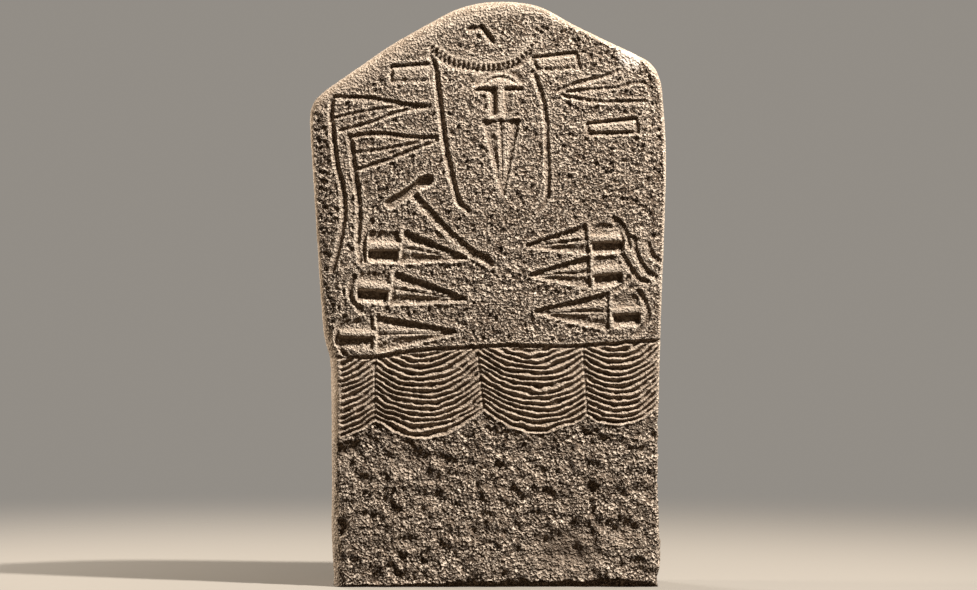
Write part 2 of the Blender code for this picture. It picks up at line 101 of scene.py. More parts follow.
# %% Outline of the slab
OUTLINE = (
    (-0.868, 0.000, 0.029, 0.120),
    (-0.885, 0.085, 0.033, 0.150),
    (-0.885, 0.200, 0.033, 0.150),
    (-0.888, 0.318, 0.037, 0.150),
    (-0.893, 0.386, 0.038, 0.120),
    (-0.921, 0.424, 0.034, 0.070),
    (-0.938, 0.489, 0.026, 0.045),
    (-0.960, 0.590, 0.020, 0.040),
    (-0.992, 0.746, 0.018, 0.040),
    (-1.000, 0.797, 0.022, 0.045),
    (-0.986, 0.823, 0.029, 0.050),
    (-0.930, 0.844, 0.037, 0.060),
    (-0.801, 0.872, 0.037, 0.060),
    (-0.550, 0.924, 0.038, 0.060),
    (-0.313, 0.966, 0.040, 0.060),
    (-0.184, 0.986, 0.044, 0.060),
    (-0.055, 0.997, 0.044, 0.060),
    (0.069, 1.000, 0.040, 0.055),
    (0.192, 0.998, 0.033, 0.050),
    (0.321, 0.988, 0.026, 0.045),
    (0.489, 0.959, 0.022, 0.040),
    (0.826, 0.910, 0.022, 0.040),
    (0.916, 0.893, 0.026, 0.040),
    (0.961, 0.870, 0.022, 0.035),
    (0.983, 0.831, 0.018, 0.030),
    (1.000, 0.700, 0.015, 0.030),
    (0.975, 0.472, 0.015, 0.030),
    (0.961, 0.301, 0.015, 0.030),
    (0.962, 0.150, 0.018, 0.035),
    (0.975, 0.050, 0.022, 0.045),
    (0.955, 0.000, 0.026, 0.050),
)
LEFT_SHOULDER, RIGHT_SHOULDER = 10, 23
OUTLINE_STEPS = 24
# How far the broken front edge lifts off the ground, from left to right, in metres.
FOOT_EDGE = (
    (-0.87, 0.004), (-0.60, 0.006), (-0.32, 0.013), (-0.10, 0.024), (0.35, 0.028), (0.75, 0.031), (0.93, 0.024)
)
FOOT_BLEND = 0.150


def inward_of(path):
    """Steps of one metre to the right of each point of a path, which is into the stone all round the outline."""
    along = np.gradient(path, axis=0)
    along /= np.linalg.norm(along, axis=1)[:, None]
    return np.column_stack([along[:, 1], -along[:, 0]])


dense = smooth_through([(*place(row)[0], *row[2:]) for row in OUTLINE], OUTLINE_STEPS)
dense[:, 0] -= (dense[:, 0].min() + dense[:, 0].max()) / 2
dense[:, 0] *= WIDTH / np.ptp(dense[:, 0])
dense[:, 1] *= HEIGHT / dense[:, 1].max()
silhouette, inset, round_depth = dense[:, :2], dense[:, 2], dense[:, 3]

inward = inward_of(silhouette)
near_foot = np.clip(1 - silhouette[:, 1] / FOOT_BLEND, 0, 1)
foot_edge = np.array(FOOT_EDGE) * (WIDTH / 2, 1)
rise = np.interp(silhouette[:, 0], *foot_edge.T)
arris = silhouette + inward * inset[:, None]
arris[:, 1] = silhouette[:, 1] + inward[:, 1] * inset * (1 - near_foot) + rise * near_foot
print(f"{len(dense)} points along the silhouette")

# %% [markdown]
# ## A net over the front
#
# Carving shows only where the mesh is fine enough for it, and the piece has to stay under 200,000 triangles. So the
# front is a net of squares: rows close together across the belt, where the folds are two centimetres apart, wider in
# the rough foot, and fanned out under the gable. A Coons patch fills a four-sided border with such a net. The other
# way, cutting each mark with a Boolean, gives sharp machine-like walls that no stone hammer leaves.

# %% Fill a border with a net
COLUMNS = 236
FOOT_ROWS, BELT_ROWS, CHEST_ROWS, GABLE_ROWS = 56, 92, 66, 130
BELT_LOW, BELT_HIGH, SPLIT = 0.238, 0.420, 0.600


def coons(left, right, bottom, top, across, up):
    """A net of points inside four borders. Each border runs from its lower or left end."""
    s, t = across[None, :, None], up[:, None, None]
    straight = (1 - s) * left[:, None] + s * right[:, None] + (1 - t) * bottom[None] + t * top[None]
    corners = (1 - t) * ((1 - s) * bottom[0] + s * bottom[-1]) + t * ((1 - s) * top[0] + s * top[-1])
    return straight - corners


def pick(values, index):
    """Values of a list at fractional places in it."""
    whole = np.arange(len(values))
    if values.ndim == 1:
        return np.interp(index, whole, values)
    return np.column_stack([np.interp(index, whole, column) for column in values.T])


def on_line(start, end, shares):
    """Places on a straight line at the given shares of it."""
    return start + (end - start) * shares[:, None]


def between(start, end):
    """The whole numbers from start to end, upwards or downwards."""
    step = 1 if end > start else -1
    return np.arange(round(start), round(end) + step, step)


def even_index(points, start, end, count):
    """Fractional places in a list of points that part its length from start to end evenly."""
    whole = between(start, end)
    run = pick(points, whole)
    length = np.concatenate([[0], np.cumsum(np.linalg.norm(np.diff(run, axis=0), axis=1))])
    return np.interp(np.linspace(0, length[-1], count + 1), length, whole)


def index_at_height(heights, start, end):
    """Fractional places on one side's stretch of the arris, from start to end, at the given heights."""
    whole = between(start, end)
    return np.interp(heights, arris[whole, 1], whole)


# %% Borders of the net
left_corner, right_corner = LEFT_SHOULDER * OUTLINE_STEPS, RIGHT_SHOULDER * OUTLINE_STEPS
last = len(dense) - 1
levels = np.concatenate(
    [
        np.linspace(0, BELT_LOW, FOOT_ROWS, endpoint=False),
        np.linspace(BELT_LOW, BELT_HIGH, BELT_ROWS, endpoint=False),
        np.linspace(BELT_HIGH, SPLIT, CHEST_ROWS + 1),
    ]
) / SPLIT
split_z = SPLIT * HEIGHT
left_low = index_at_height(arris[0, 1] + levels * (split_z - arris[0, 1]), 0, left_corner)
right_low = index_at_height(arris[-1, 1] + levels * (split_z - arris[-1, 1]), last, right_corner)
left_index = np.concatenate([left_low[:-1], even_index(arris, left_low[-1], left_corner, GABLE_ROWS)])
right_index = np.concatenate([right_low[:-1], even_index(arris, right_low[-1], right_corner, GABLE_ROWS)])
left_index[len(left_low) - 1], right_index[len(right_low) - 1] = left_low[-1], right_low[-1]
top_index = even_index(arris, left_corner, right_corner, COLUMNS)
print(f"{len(left_index)} rows up each side and {len(top_index)} points along the gable")

# %% The net itself
LATTICE_CELLS, LATTICE_START = 400, 150
# The broken foot edge is ragged: the length of its waves and their height.
RAGGED = ((0.070, 0.0035), (0.022, 0.0025))


def cloud(spots, size, seed):
    """Smooth random hills from -1 to 1 over the front, about one to every size metres."""
    lattice = np.random.default_rng(seed).uniform(-1, 1, (LATTICE_CELLS, LATTICE_CELLS))
    cells = spots / size + LATTICE_START
    low = np.floor(cells).astype(int)
    (x, z), (i, k) = eased(cells - low).T, low.T
    below = lattice[i, k] * (1 - x) + lattice[i + 1, k] * x
    above = lattice[i, k + 1] * (1 - x) + lattice[i + 1, k + 1] * x
    return below * (1 - z) + above * z


across = np.linspace(0, 1, COLUMNS + 1)
low_rows = len(levels)
foot_line = on_line(arris[0], arris[-1], across)
foot_line[1:-1, 1] = np.interp(foot_line[1:-1, 0], *foot_edge.T)
for size, ragged in RAGGED:
    foot_line[1:-1, 1] += ragged * cloud(foot_line[1:-1] * (1, 0), size, seed=14)
split_line = on_line(pick(arris, left_low[-1:]), pick(arris, right_low[-1:]), across)
lower_sides = (pick(arris, index[:low_rows]) for index in (left_index, right_index))
upper_sides = (pick(arris, index[low_rows - 1 :]) for index in (left_index, right_index))
lower = coons(*lower_sides, foot_line, split_line, across, levels)
upper = coons(*upper_sides, split_line, pick(arris, top_index), across, np.linspace(0, 1, GABLE_ROWS + 1))
net = np.concatenate([lower[:-1], upper])
ROWS = len(net) - 1
print(f"a net of {ROWS} by {COLUMNS} squares, about {WIDTH / COLUMNS * 1000:.1f} mm wide")

# %% [markdown]
# ## The worn edge as rings
#
# A net seen from the front can't hold the edge, which turns away until it faces sideways. So the border of the net
# goes on as rings: each ring lies a little further round the worn edge, until the last one is the silhouette. Behind
# that the sides are plain, and a back that nobody sees needs no fine mesh, so two rings drop every second point.

# %% Borders as one ring
EDGE_STEPS = 6
# Along the ground the edge runs back this far, and near the corners it takes up the depth of the two sides.
FOOT_ROUND_DEPTH = 0.050
FOOT_CORNERS = (0, 0.2, 0.8, 1)
bottom_share = np.linspace(1, 0, COLUMNS + 1)[1:-1]
ring_index = np.concatenate([left_index, top_index[1:-1], right_index[::-1]])
ring_net = np.concatenate(
    [
        np.arange(ROWS + 1) * (COLUMNS + 1),
        ROWS * (COLUMNS + 1) + np.arange(1, COLUMNS),
        np.arange(ROWS, -1, -1) * (COLUMNS + 1) + COLUMNS,
        np.arange(COLUMNS - 1, 0, -1),
    ]
)
foot_silhouette = on_line(silhouette[0], silhouette[-1], bottom_share)
ring_outer = np.concatenate([pick(silhouette, ring_index), foot_silhouette])
ring_inner = net.reshape(-1, 2)[ring_net]
foot_depths = (round_depth[0], FOOT_ROUND_DEPTH, FOOT_ROUND_DEPTH, round_depth[-1])
ring_depth = np.concatenate([pick(round_depth, ring_index), np.interp(bottom_share, FOOT_CORNERS, foot_depths)])


def edge_ring(turn):
    """Places and depths behind the front of one ring round the worn edge, from 0 to 90 degrees."""
    spots = ring_outer + (ring_inner - ring_outer) * (1 - math.sin(turn))
    return spots, ring_depth * (1 - math.cos(turn))


edge_turns = [math.radians(90) * step / EDGE_STEPS for step in range(1, EDGE_STEPS + 1)]
edge_rings = [edge_ring(turn) for turn in edge_turns]
print(f"{len(ring_net)} points in a ring, {EDGE_STEPS} rings round the edge")

# %% [markdown]
# ## Tool marks
#
# All the carving is sunk: grooves, pecked hollows and lowered fields. So every point of the front gets one number,
# how deep it lies behind the block's front, and each mark may only deepen it. Where two marks cross, the deeper one
# wins, as it does in stone, where nothing can be cut twice.

# %% All points that a tool can reach
SPOTS = np.concatenate([net.reshape(-1, 2), *(spots for spots, _ in edge_rings)])
NET_POINTS = (ROWS + 1) * (COLUMNS + 1)
turns = np.concatenate([np.zeros(NET_POINTS), np.repeat(edge_turns, len(ring_net))])
to_left = SPOTS[:, 0] - np.interp(SPOTS[:, 1], *pick(arris, left_index).T[::-1])
to_right = np.interp(SPOTS[:, 1], *pick(arris, right_index).T[::-1]) - SPOTS[:, 0]
depths = np.zeros(len(SPOTS))
# Where the stone is finer dressed than elsewhere, and where a painted highlight goes, both from 0 to 1.
calm, painted_highlight = np.zeros(len(SPOTS)), np.zeros(len(SPOTS))
FINE = 0.8
WALL = 0.006
print(f"{len(SPOTS)} points on the front and its worn edge")


# %% Tools: which points a mark reaches
def within(path, reach):
    """The points inside the box round a path, with a margin."""
    low, high = path.min(axis=0) - reach, path.max(axis=0) + reach
    return np.flatnonzero(((SPOTS >= low) & (SPOTS <= high)).all(axis=1))


def away_from(spots, path):
    """The distance from each spot to a path."""
    best = np.full(len(spots), np.inf)
    for start, end in zip(path, path[1:]):
        run = end - start
        share = np.clip((spots - start) @ run / max(run @ run, 1e-12), 0, 1)
        best = np.minimum(best, np.linalg.norm(spots - start - share[:, None] * run, axis=1))
    return best


def near(path, reach):
    """The points closer to a path than its reach."""
    points = within(path, reach)
    return points[away_from(SPOTS[points], path) < reach]


def oval(spots, middle, half_width, half_height):
    """The squared distance from an oval's middle, which is 1 on its rim."""
    return (((spots - place(middle)) / (half_width, half_height)) ** 2).sum(axis=1)


def along_and_across(spots, path):
    """For each spot its distance along a path and its signed distance across it, positive on the left."""
    best = np.full(len(spots), np.inf)
    station, across_path = np.zeros(len(spots)), np.zeros(len(spots))
    done = 0.0
    for start, end in zip(path, path[1:]):
        run = end - start
        length = math.hypot(*run)
        share = np.clip((spots - start) @ run / length**2, 0, 1)
        away = spots - start - share[:, None] * run
        distance = np.linalg.norm(away, axis=1)
        closer = distance < best
        best[closer] = distance[closer]
        station[closer] = done + share[closer] * length
        across_path[closer] = (distance * np.sign(away @ np.array([-run[1], run[0]])))[closer]
        done += length
    return station, across_path


# %% Tools: grooves and ledges
def deepen(points, depth):
    depths[points] = np.maximum(depths[points], depth)


def wall(distance, width=WALL, start=0.3):
    """How far down a steep wall has come at a distance from its line, from 0 to 1."""
    return eased(distance / width + start)


def groove(path, width, depth, keen=1.4):
    """A groove along a path. A keen of 1 is a V, and more makes a rounder floor."""
    points = within(path, width)
    reach = np.clip(away_from(SPOTS[points], path) / (width / 2), 0, 1)
    deepen(points, depth * (1 - reach**keen))


def cut(rows, width, depth, keen=1.4, steps=4):
    """A groove on a smooth curve through places on the front."""
    groove(smooth_through(place(rows), steps), width, depth, keen)


def ledge(path, width, depth, ends=0.010):
    """Lowers the stone to the left of a path: a steep wall along the path that runs out over the width."""
    points = within(path, width)
    station, out = along_and_across(SPOTS[points], path)
    held = eased(station / ends) * eased((station.max() - station) / ends)
    deepen(points, depth * wall(out) * (1 - eased(out / width)) * held * (out > -WALL / 2))


def waver(path, amount, seed):
    """A path with the small wanderings of a hand-held tool."""
    random = np.random.default_rng(seed)
    path = np.array(path, float)
    return path + random.normal(0, amount, path.shape)


def heading(degrees):
    turn = math.radians(degrees)
    return np.array([math.cos(turn), math.sin(turn)])


def square_to(way):
    return np.array([-way[1], way[0]])


# %% [markdown]
# ## Daggers
#
# Seven daggers are cut into the stone, one on the breast and three on each side, with their points to the middle. On
# each the blade is a lowered field that is deepest along its two edges and rises to a midrib, the guard is left
# standing as a bar, the grip stands between two hollows, and grooves draw the pommel. All seven share these parts, so
# one function carves them from a short table of places, lengths and widths.

# %% Table of the daggers
# Each: the guard's middle, the blade's turn, length, width and depth, the hilt's turn and length, then how deep the
# hollows beside the grip are, the one above (or to the left) first, and how wide.
DAGGERS = {
    "breast": ((0.074, 0.799), -88.5, 0.276, 0.125, 0.0080, 90.7, 0.112, 0.011, 0.003, 0.026),
    "left_top": ((-0.487, 0.580), -10.1, 0.232, 0.107, 0.0105, 178.6, 0.118, 0.008, 0.018, 0.045),
    "left_middle": ((-0.543, 0.510), -8.7, 0.268, 0.110, 0.0105, 175.7, 0.118, 0.006, 0.018, 0.045),
    "left_low": ((-0.627, 0.431), 1.5, 0.283, 0.121, 0.0100, 178.6, 0.135, 0.005, 0.009, 0.045),
    "right_top": ((0.568, 0.593), -173.8, 0.222, 0.096, 0.0085, 2.9, 0.122, 0.006, 0.015, 0.045),
    "right_middle": ((0.579, 0.537), -177.1, 0.217, 0.103, 0.0085, 6.0, 0.110, 0.006, 0.013, 0.045),
    "right_low": ((0.686, 0.470), -179.6, 0.265, 0.125, 0.0085, 3.8, 0.105, 0.005, 0.014, 0.045),
}
GUARD_THICKNESS, GUARD_OVERHANG = 0.018, 0.006
GRIP_WIDTH, GRIP_FALL = 0.037, 0.0055
BLADE_WALL, RIB_RISE, RIB_SHARE = 0.007, 0.74, 0.88
# Widths of the cuts along a blade's edges, along its rib and beside its guard, and the depths of the last two.
EDGE_WIDTH, RIB_WIDTH, GUARD_LINE_WIDTH = 0.015, 0.015, 0.014
RIB_DEPTH, GUARD_LINE_DEPTH = 0.0088, 0.0050


def blade_field(first, second, tip, depth):
    """Lowers a blade's field between two corners and its tip: steep along its edges, rising to the midrib."""
    root = (first + second) / 2
    length = np.linalg.norm(tip - root)
    way = (tip - root) / length
    points = within(np.array([first, second, tip]), 0.01)
    spots = SPOTS[points]
    station = (spots - root) @ way / length
    half = np.linalg.norm(second - first) / 2 * (1 - station)
    from_edge = np.minimum(away_from(spots, np.array([first, tip])), away_from(spots, np.array([second, tip])))
    offset = np.abs((spots - root - station[:, None] * way * length) @ square_to(way))
    inside = (station > -0.01) & (station < 1) & (offset < half)
    rise_to_rib = 1 - RIB_RISE * eased(from_edge / np.clip(half * 0.8, 0.012, 0.035))
    deepen(points[inside], (depth * wall(from_edge, BLADE_WALL) * rise_to_rib)[inside])


def hollow(guard, way, out, length, depth, reach):
    """Pecks out the hollow beside a grip: a flat floor between a steep wall and one that runs out."""
    start = guard + out * GRIP_WIDTH / 2
    points = within(np.array([start, start + way * length + out * reach, start + out * reach]), 0.01)
    away = SPOTS[points] - start
    run, from_grip = away @ way - GUARD_THICKNESS / 2, away @ out
    ends = wall(run, BLADE_WALL) * wall(length - GUARD_THICKNESS / 2 - run, BLADE_WALL)
    walls = wall(from_grip, WALL, 0.4) * (1 - eased((from_grip - reach * 0.40) / (reach * 0.60)))
    deepen(points, depth * ends * walls * (run > -0.004) * (from_grip > -0.004))


def round_grip(guard, way, out, length):
    """Rounds a grip towards its two long edges and leaves it finer dressed than the stone round it."""
    points = within(np.array([guard, guard + way * length]), GRIP_WIDTH)
    away = SPOTS[points] - guard
    run, offset = away @ way, np.abs(away @ out) / (GRIP_WIDTH / 2)
    on_grip = (run > 0) & (run < length) & (offset < 1.1)
    deepen(points[on_grip], GRIP_FALL * offset[on_grip] ** 2.2)
    calm[points[on_grip]] = FINE


# %% Carve the daggers
def carve_dagger(
    guard, blade_turn, blade_length, blade_width, blade_depth, hilt_turn, hilt_length, hollow_above, hollow_below, reach
):
    """One dagger: lowered blade with edge lines and midrib, standing guard and grip, and two hollows."""
    guard = place(guard)[0]
    way, hilt = heading(blade_turn), heading(hilt_turn)
    side, hilt_side = square_to(way), square_to(hilt)
    root = guard + way * GUARD_THICKNESS / 2
    tip = root + way * blade_length
    half_blade = side * blade_width / 2
    blade_field(root + half_blade, root - half_blade, tip, blade_depth)
    for sign in (-1, 1):
        out = hilt_side * sign
        hollow(guard, hilt, out, hilt_length, hollow_above if out @ (-1, 1) > 0 else hollow_below, reach)
        groove(np.array([root + half_blade * sign, tip]), EDGE_WIDTH, blade_depth * 0.9)
    round_grip(guard, hilt, hilt_side, hilt_length)
    half_guard = side * (blade_width / 2 + GUARD_OVERHANG / 2)
    bar = np.array([guard - half_guard, guard + half_guard])
    on_bar = near(bar, GUARD_THICKNESS / 2)
    # The guard bar is finer dressed and takes a painted highlight.
    calm[on_bar], painted_highlight[on_bar] = FINE, 0.7
    groove(bar + root - guard + way * 0.004, GUARD_LINE_WIDTH, GUARD_LINE_DEPTH)
    groove(np.array([root, root + way * blade_length * RIB_SHARE]), RIB_WIDTH, RIB_DEPTH)


for row in DAGGERS.values():
    carve_dagger(*row)
print(f"{len(DAGGERS)} daggers, up to {depths.max() * 1000:.1f} mm deep")

# %% Pommels
# The breast dagger's pommel is a dome with a second line inside; the others end in a curved groove.
POMMEL_DOME = (
    (-0.064, 0.8507), (-0.032, 0.8600), (0.018, 0.8712), (0.072, 0.8753), (0.127, 0.8712), (0.164, 0.8628),
    (0.196, 0.8534),
)
POMMEL_INNER = ((-0.028, 0.8577), (0.018, 0.8666), (0.072, 0.8698), (0.127, 0.8654), (0.177, 0.8563))
POMMEL_FOOT = ((-0.062, 0.8475), (0.040, 0.8475)), ((0.100, 0.8475), (0.190, 0.8490))
POMMEL_GROOVES = (
    ((-0.644, 0.624), (-0.683, 0.605), (-0.697, 0.581), (-0.683, 0.554)),
    ((-0.745, 0.530), (-0.771, 0.506), (-0.756, 0.487), (-0.711, 0.473)),
    ((-0.801, 0.462), (-0.842, 0.438), (-0.840, 0.416), (-0.795, 0.395)),
    ((0.703, 0.624), (0.740, 0.607), (0.752, 0.585), (0.719, 0.569)),
    ((0.792, 0.528), (0.719, 0.506)),
    ((0.841, 0.504), (0.880, 0.484), (0.894, 0.458), (0.832, 0.431)),
)
dome, inner = (smooth_through(place(rows), 4) for rows in (POMMEL_DOME, POMMEL_INNER))
ledge(dome, 0.034, 0.0078)
groove(inner, 0.014, 0.0080)
# The dome's outer arc and a line just under the inner groove take a painted highlight.
for arc in (dome, inner - (0, 0.009)):
    painted_highlight[near(arc, 0.0045)] = 1
calm[within(dome, 0.004)] = FINE
for rows in POMMEL_FOOT:
    cut(rows, 0.018, 0.0100)
for rows in POMMEL_GROOVES:
    cut(rows, 0.020, 0.0080)
print(f"{len(POMMEL_GROOVES) + 1} pommels")

# %% [markdown]
# ## Halberds and axes
#
# A halberd's blade sits across the top of a long shaft. Here the blade is drawn by two edges and a rib between them
# that meet in its point, and the shaft is a single groove that follows the stone's edge. Under the lower edge a band
# takes a painted highlight. The flat axes are oblongs of four grooves, and the hafted axe is a broad hollow for its
# head with a long groove for its handle. A plain groove through a few places is enough for all of them.

# %% Table of the halberds
# Each: the blade's upper edge and lower edge up to the point, its rib, the shaft, and the depths of blade and shaft.
HALBERDS = {
    "left_outer": (
        ((-0.857, 0.835), (-0.680, 0.833), (-0.548, 0.827), (-0.456, 0.822), (-0.324, 0.818)),
        ((-0.823, 0.778), (-0.670, 0.790), (-0.567, 0.802), (-0.456, 0.813), (-0.363, 0.817)),
        ((-0.857, 0.799), (-0.773, 0.805), (-0.619, 0.814), (-0.464, 0.820)),
        ((-0.868, 0.829), (-0.874, 0.808), (-0.863, 0.771), (-0.842, 0.718), (-0.820, 0.693), (-0.802, 0.652),
         (-0.809, 0.616), (-0.840, 0.571), (-0.868, 0.540)),
        0.0080, 0.0090,
    ),
    "left_inner": (
        ((-0.771, 0.766), (-0.690, 0.771), (-0.578, 0.772), (-0.415, 0.766), (-0.288, 0.765)),
        ((-0.735, 0.711), (-0.567, 0.727), (-0.415, 0.745), (-0.283, 0.761)),
        ((-0.759, 0.740), (-0.647, 0.7435), (-0.524, 0.7495), (-0.386, 0.7585)),
        ((-0.771, 0.769), (-0.759, 0.743), (-0.740, 0.703), (-0.720, 0.662), (-0.717, 0.634), (-0.722, 0.592),
         (-0.711, 0.554)),
        0.0085, 0.0090,
    ),
    "right": (
        ((0.719, 0.880), (0.661, 0.871), (0.577, 0.865), (0.483, 0.857), (0.393, 0.846)),
        ((0.888, 0.828), (0.714, 0.827), (0.588, 0.828), (0.483, 0.833), (0.409, 0.840)),
        ((0.893, 0.856), (0.861, 0.860), (0.798, 0.858), (0.735, 0.852), (0.630, 0.849), (0.440, 0.844)),
        ((0.893, 0.857), (0.904, 0.846), (0.910, 0.821), (0.907, 0.780), (0.902, 0.728), (0.882, 0.677)),
        0.0065, 0.0025,
    ),
}
# The cuts of upper edge, lower edge and rib: the width, and the share of the blade's depth.
HALBERD_CUTS = (0.017, 1.0), (0.014, 0.9), (0.013, 0.8)
SHAFT_WIDTH = 0.022
# How far under each lower edge a band of painted highlight lies, and how far it reaches.
BRIGHT_BELOW, BRIGHT_REACH = 0.0105, 0.0055

for upper, lower, rib, shaft, depth, shaft_depth in HALBERDS.values():
    for rows, (width, share) in zip((upper, lower, rib), HALBERD_CUTS):
        cut(rows, width, depth * share)
    # A band under the blade's lower edge takes a painted highlight.
    painted_highlight[near(smooth_through(place(lower), 4) - (0, BRIGHT_BELOW), BRIGHT_REACH)] = 0.8
    cut(shaft, SHAFT_WIDTH, shaft_depth, steps=6)
print(f"{len(HALBERDS)} halberds")

# %% Axes
# Each flat axe: its four corners, from the upper left one on, and how deep its lower edge is cut.
FLAT_AXES = {
    "left": ((-0.537, 0.886), (-0.318, 0.891), (-0.318, 0.864), (-0.537, 0.862), 0.0062),
    "right_upper": ((0.256, 0.902), (0.493, 0.910), (0.512, 0.885), (0.276, 0.881), 0.0056),
    "right_lower": ((0.556, 0.789), (0.829, 0.798), (0.837, 0.775), (0.562, 0.772), 0.0085),
}
FLAT_AXE_WIDTH = 0.016
UPPER_DEPTH, RIGHT_DEPTH, LEFT_DEPTH = 0.0090, 0.0080, 0.0070
AXE_HEAD = ((-0.545, 0.653), (-0.505, 0.661), (-0.436, 0.674), (-0.374, 0.688), (-0.335, 0.693))
AXE_HANDLE = ((-0.415, 0.668), (-0.324, 0.638), (-0.212, 0.602), (-0.100, 0.573), (0.013, 0.552))
# Each cut of the hafted axe: its places, width and depth, how round its floor is, and the steps of its curve.
HAFTED_AXE = (
    (AXE_HEAD, 0.032, 0.0130, 4.0),
    (AXE_HEAD[-2:], 0.044, 0.0160, 2.5),
    (AXE_HEAD[:2], 0.038, 0.0130, 3.0),
    (AXE_HANDLE, 0.030, 0.0062, 3.5, 6),
    (((-0.010, 0.560), (0.010, 0.553)), 0.028, 0.0090, 2.2),
)

for *corners, lower_depth in FLAT_AXES.values():
    corners = place([*corners, corners[0]])
    for side, depth in zip(zip(corners, corners[1:]), (UPPER_DEPTH, RIGHT_DEPTH, lower_depth, LEFT_DEPTH)):
        groove(np.array(side), FLAT_AXE_WIDTH, depth)
    ledge(corners[[3, 2]], 0.042, 0.0012)
    calm[within(corners, -FLAT_AXE_WIDTH / 2)] = 0.55
for row in HAFTED_AXE:
    cut(*row)
print(f"{len(FLAT_AXES) + 1} axes")

# %% [markdown]
# ## The figure
#
# The stone stands for a person: a short mark for brow and nose under the gable, a string of beads below it, and a
# cloak whose two edges fall from the neck past the breast dagger. The beads are the part that repeats, so they come
# from one rule: along the string's curve the depth swings once for each bead, and a line under the string frees it
# from the front.

# %% Brow, nose, cloak and the strokes beside the head
# Each: its places, its width, its depth and, for the nose, how round its floor is.
FIGURE = {
    "brow": (((-0.110, 0.951), (-0.038, 0.953)), 0.018, 0.0085),
    "nose": (((-0.036, 0.954), (0.028, 0.929)), 0.020, 0.0110, 1.8),
    "cloak_left": (
        ((-0.318, 0.905), (-0.296, 0.889), (-0.282, 0.857), (-0.265, 0.814), (-0.242, 0.763), (-0.214, 0.715),
         (-0.180, 0.674), (-0.157, 0.655), (-0.105, 0.640)),
        0.024, 0.0095,
    ),
    "cloak_right": (
        ((0.256, 0.878), (0.288, 0.849), (0.314, 0.820), (0.330, 0.775), (0.335, 0.689), (0.330, 0.662),
         (0.280, 0.642)),
        0.021, 0.0080,
    ),
    "middle_stroke": (((0.254, 0.954), (0.299, 0.946)), 0.013, 0.0045),
    "upper_stroke": (((0.276, 0.959), (0.332, 0.950)), 0.013, 0.0045),
    "lower_stroke": (((0.248, 0.941), (0.288, 0.934)), 0.013, 0.0045),
}
for row in FIGURE.values():
    cut(*row)
print(f"{len(FIGURE)} cuts of the figure")

# %% String of beads
NECKLACE = (
    (-0.324, 0.927), (-0.262, 0.913), (-0.201, 0.901), (-0.122, 0.8950), (-0.032, 0.8905), (0.041, 0.8905),
    (0.114, 0.8950), (0.181, 0.905), (0.231, 0.922), (0.265, 0.934),
)
BEAD_PITCH = 0.0180
STRING_HALF_WIDTH = 0.0150
STRING_DEPTH, RIM_DEPTH = 0.0095, 0.0045
RUN_OUT = 0.022

string = smooth_through(place(NECKLACE), 8)
points = within(string, 0.04)
station, signed = along_and_across(SPOTS[points], string)
string_length = np.linalg.norm(np.diff(string, axis=0), axis=1).sum()
gap = 0.5 + 0.5 * np.cos(station / BEAD_PITCH * math.tau)
on_string = (np.abs(signed) < STRING_HALF_WIDTH) & (station > 0) & (station < string_length)
deepen(points[on_string], (STRING_DEPTH * gap**1.5 * eased(0.6 - signed / 0.016))[on_string])
below_string = -signed - STRING_HALF_WIDTH
under = wall(below_string) * (1 - eased(below_string / RUN_OUT))
held = eased((station - 0.01) / 0.03) * eased((string_length - 0.03 - station) / 0.05)
deepen(points, STRING_DEPTH * under * held * (below_string > -WALL / 2))
deepen(points, RIM_DEPTH * np.clip((signed - 0.004) / 0.012, 0, 1) * on_string)
calm[points[on_string]] = FINE
# The upper side of the string takes a painted highlight.
painted_highlight[points] = np.maximum(painted_highlight[points], on_string * (signed > 0.001) * 0.8)
print(f"{round(string_length / BEAD_PITCH)} beads on a string of {string_length:.2f} m")

# %% [markdown]
# ## The belt
#
# The belt hangs in four panels of folds. Every fold is the same hanging curve, a parabola between the panel's edges,
# and the next one lies a fixed pitch higher, so one formula gives them all: how many pitches a point lies above the
# lowest curve. The fraction of that number says where on a rib the point is. Random hills waver the ribs, chip them
# and vary their depth, which keeps them hand-cut.

# %% Folds of the belt
# Each edge between two panels by its foot and its top, then how far each panel's folds sag.
PANEL_EDGES = (
    ((-1.210, 0.286), (-1.210, 0.390)),
    ((-0.627, 0.289), (-0.627, 0.392)),
    ((-0.021, 0.306), (-0.058, 0.405)),
    ((0.557, 0.299), (0.534, 0.409)),
    ((0.972, 0.320), (0.972, 0.419)),
)
PANEL_SAGS = (0.077, 0.079, 0.072, 0.061)
FOLD_PITCH, FOLD_DEPTH = 0.0222, 0.0100
FOLD_CHIPS = 0.0022
# How the folds waver: the size of the waves, and their strength as a share of the pitch.
FOLD_WAVER = ((0.060, 0.26), (0.030, 0.16), (0.014, 0.19))
BELT_TOP = (
    (-0.902, 0.390), (-0.627, 0.391), (-0.492, 0.398), (-0.324, 0.404), (-0.184, 0.406), (-0.043, 0.408),
    (0.125, 0.411), (0.265, 0.409), (0.518, 0.410), (0.742, 0.415), (0.972, 0.419),
)
belt_top = smooth_through(place(BELT_TOP), 6)
top_height = np.interp(SPOTS[:, 0], *belt_top.T)
lowest_fold = np.full(len(SPOTS), -1.0)
for *edges, sag in zip(PANEL_EDGES, PANEL_EDGES[1:], PANEL_SAGS):
    left, right = (place(edge) for edge in edges)
    left_x, right_x = (np.interp(SPOTS[:, 1], edge[:, 1], edge[:, 0]) for edge in (left, right))
    share = (SPOTS[:, 0] - left_x) / (right_x - left_x)
    inside = (share >= 0) & (share < 1)
    hung = left[0, 1] + (right[0, 1] - left[0, 1]) * share - 4 * sag * share * (1 - share)
    lowest_fold[inside] = hung[inside]

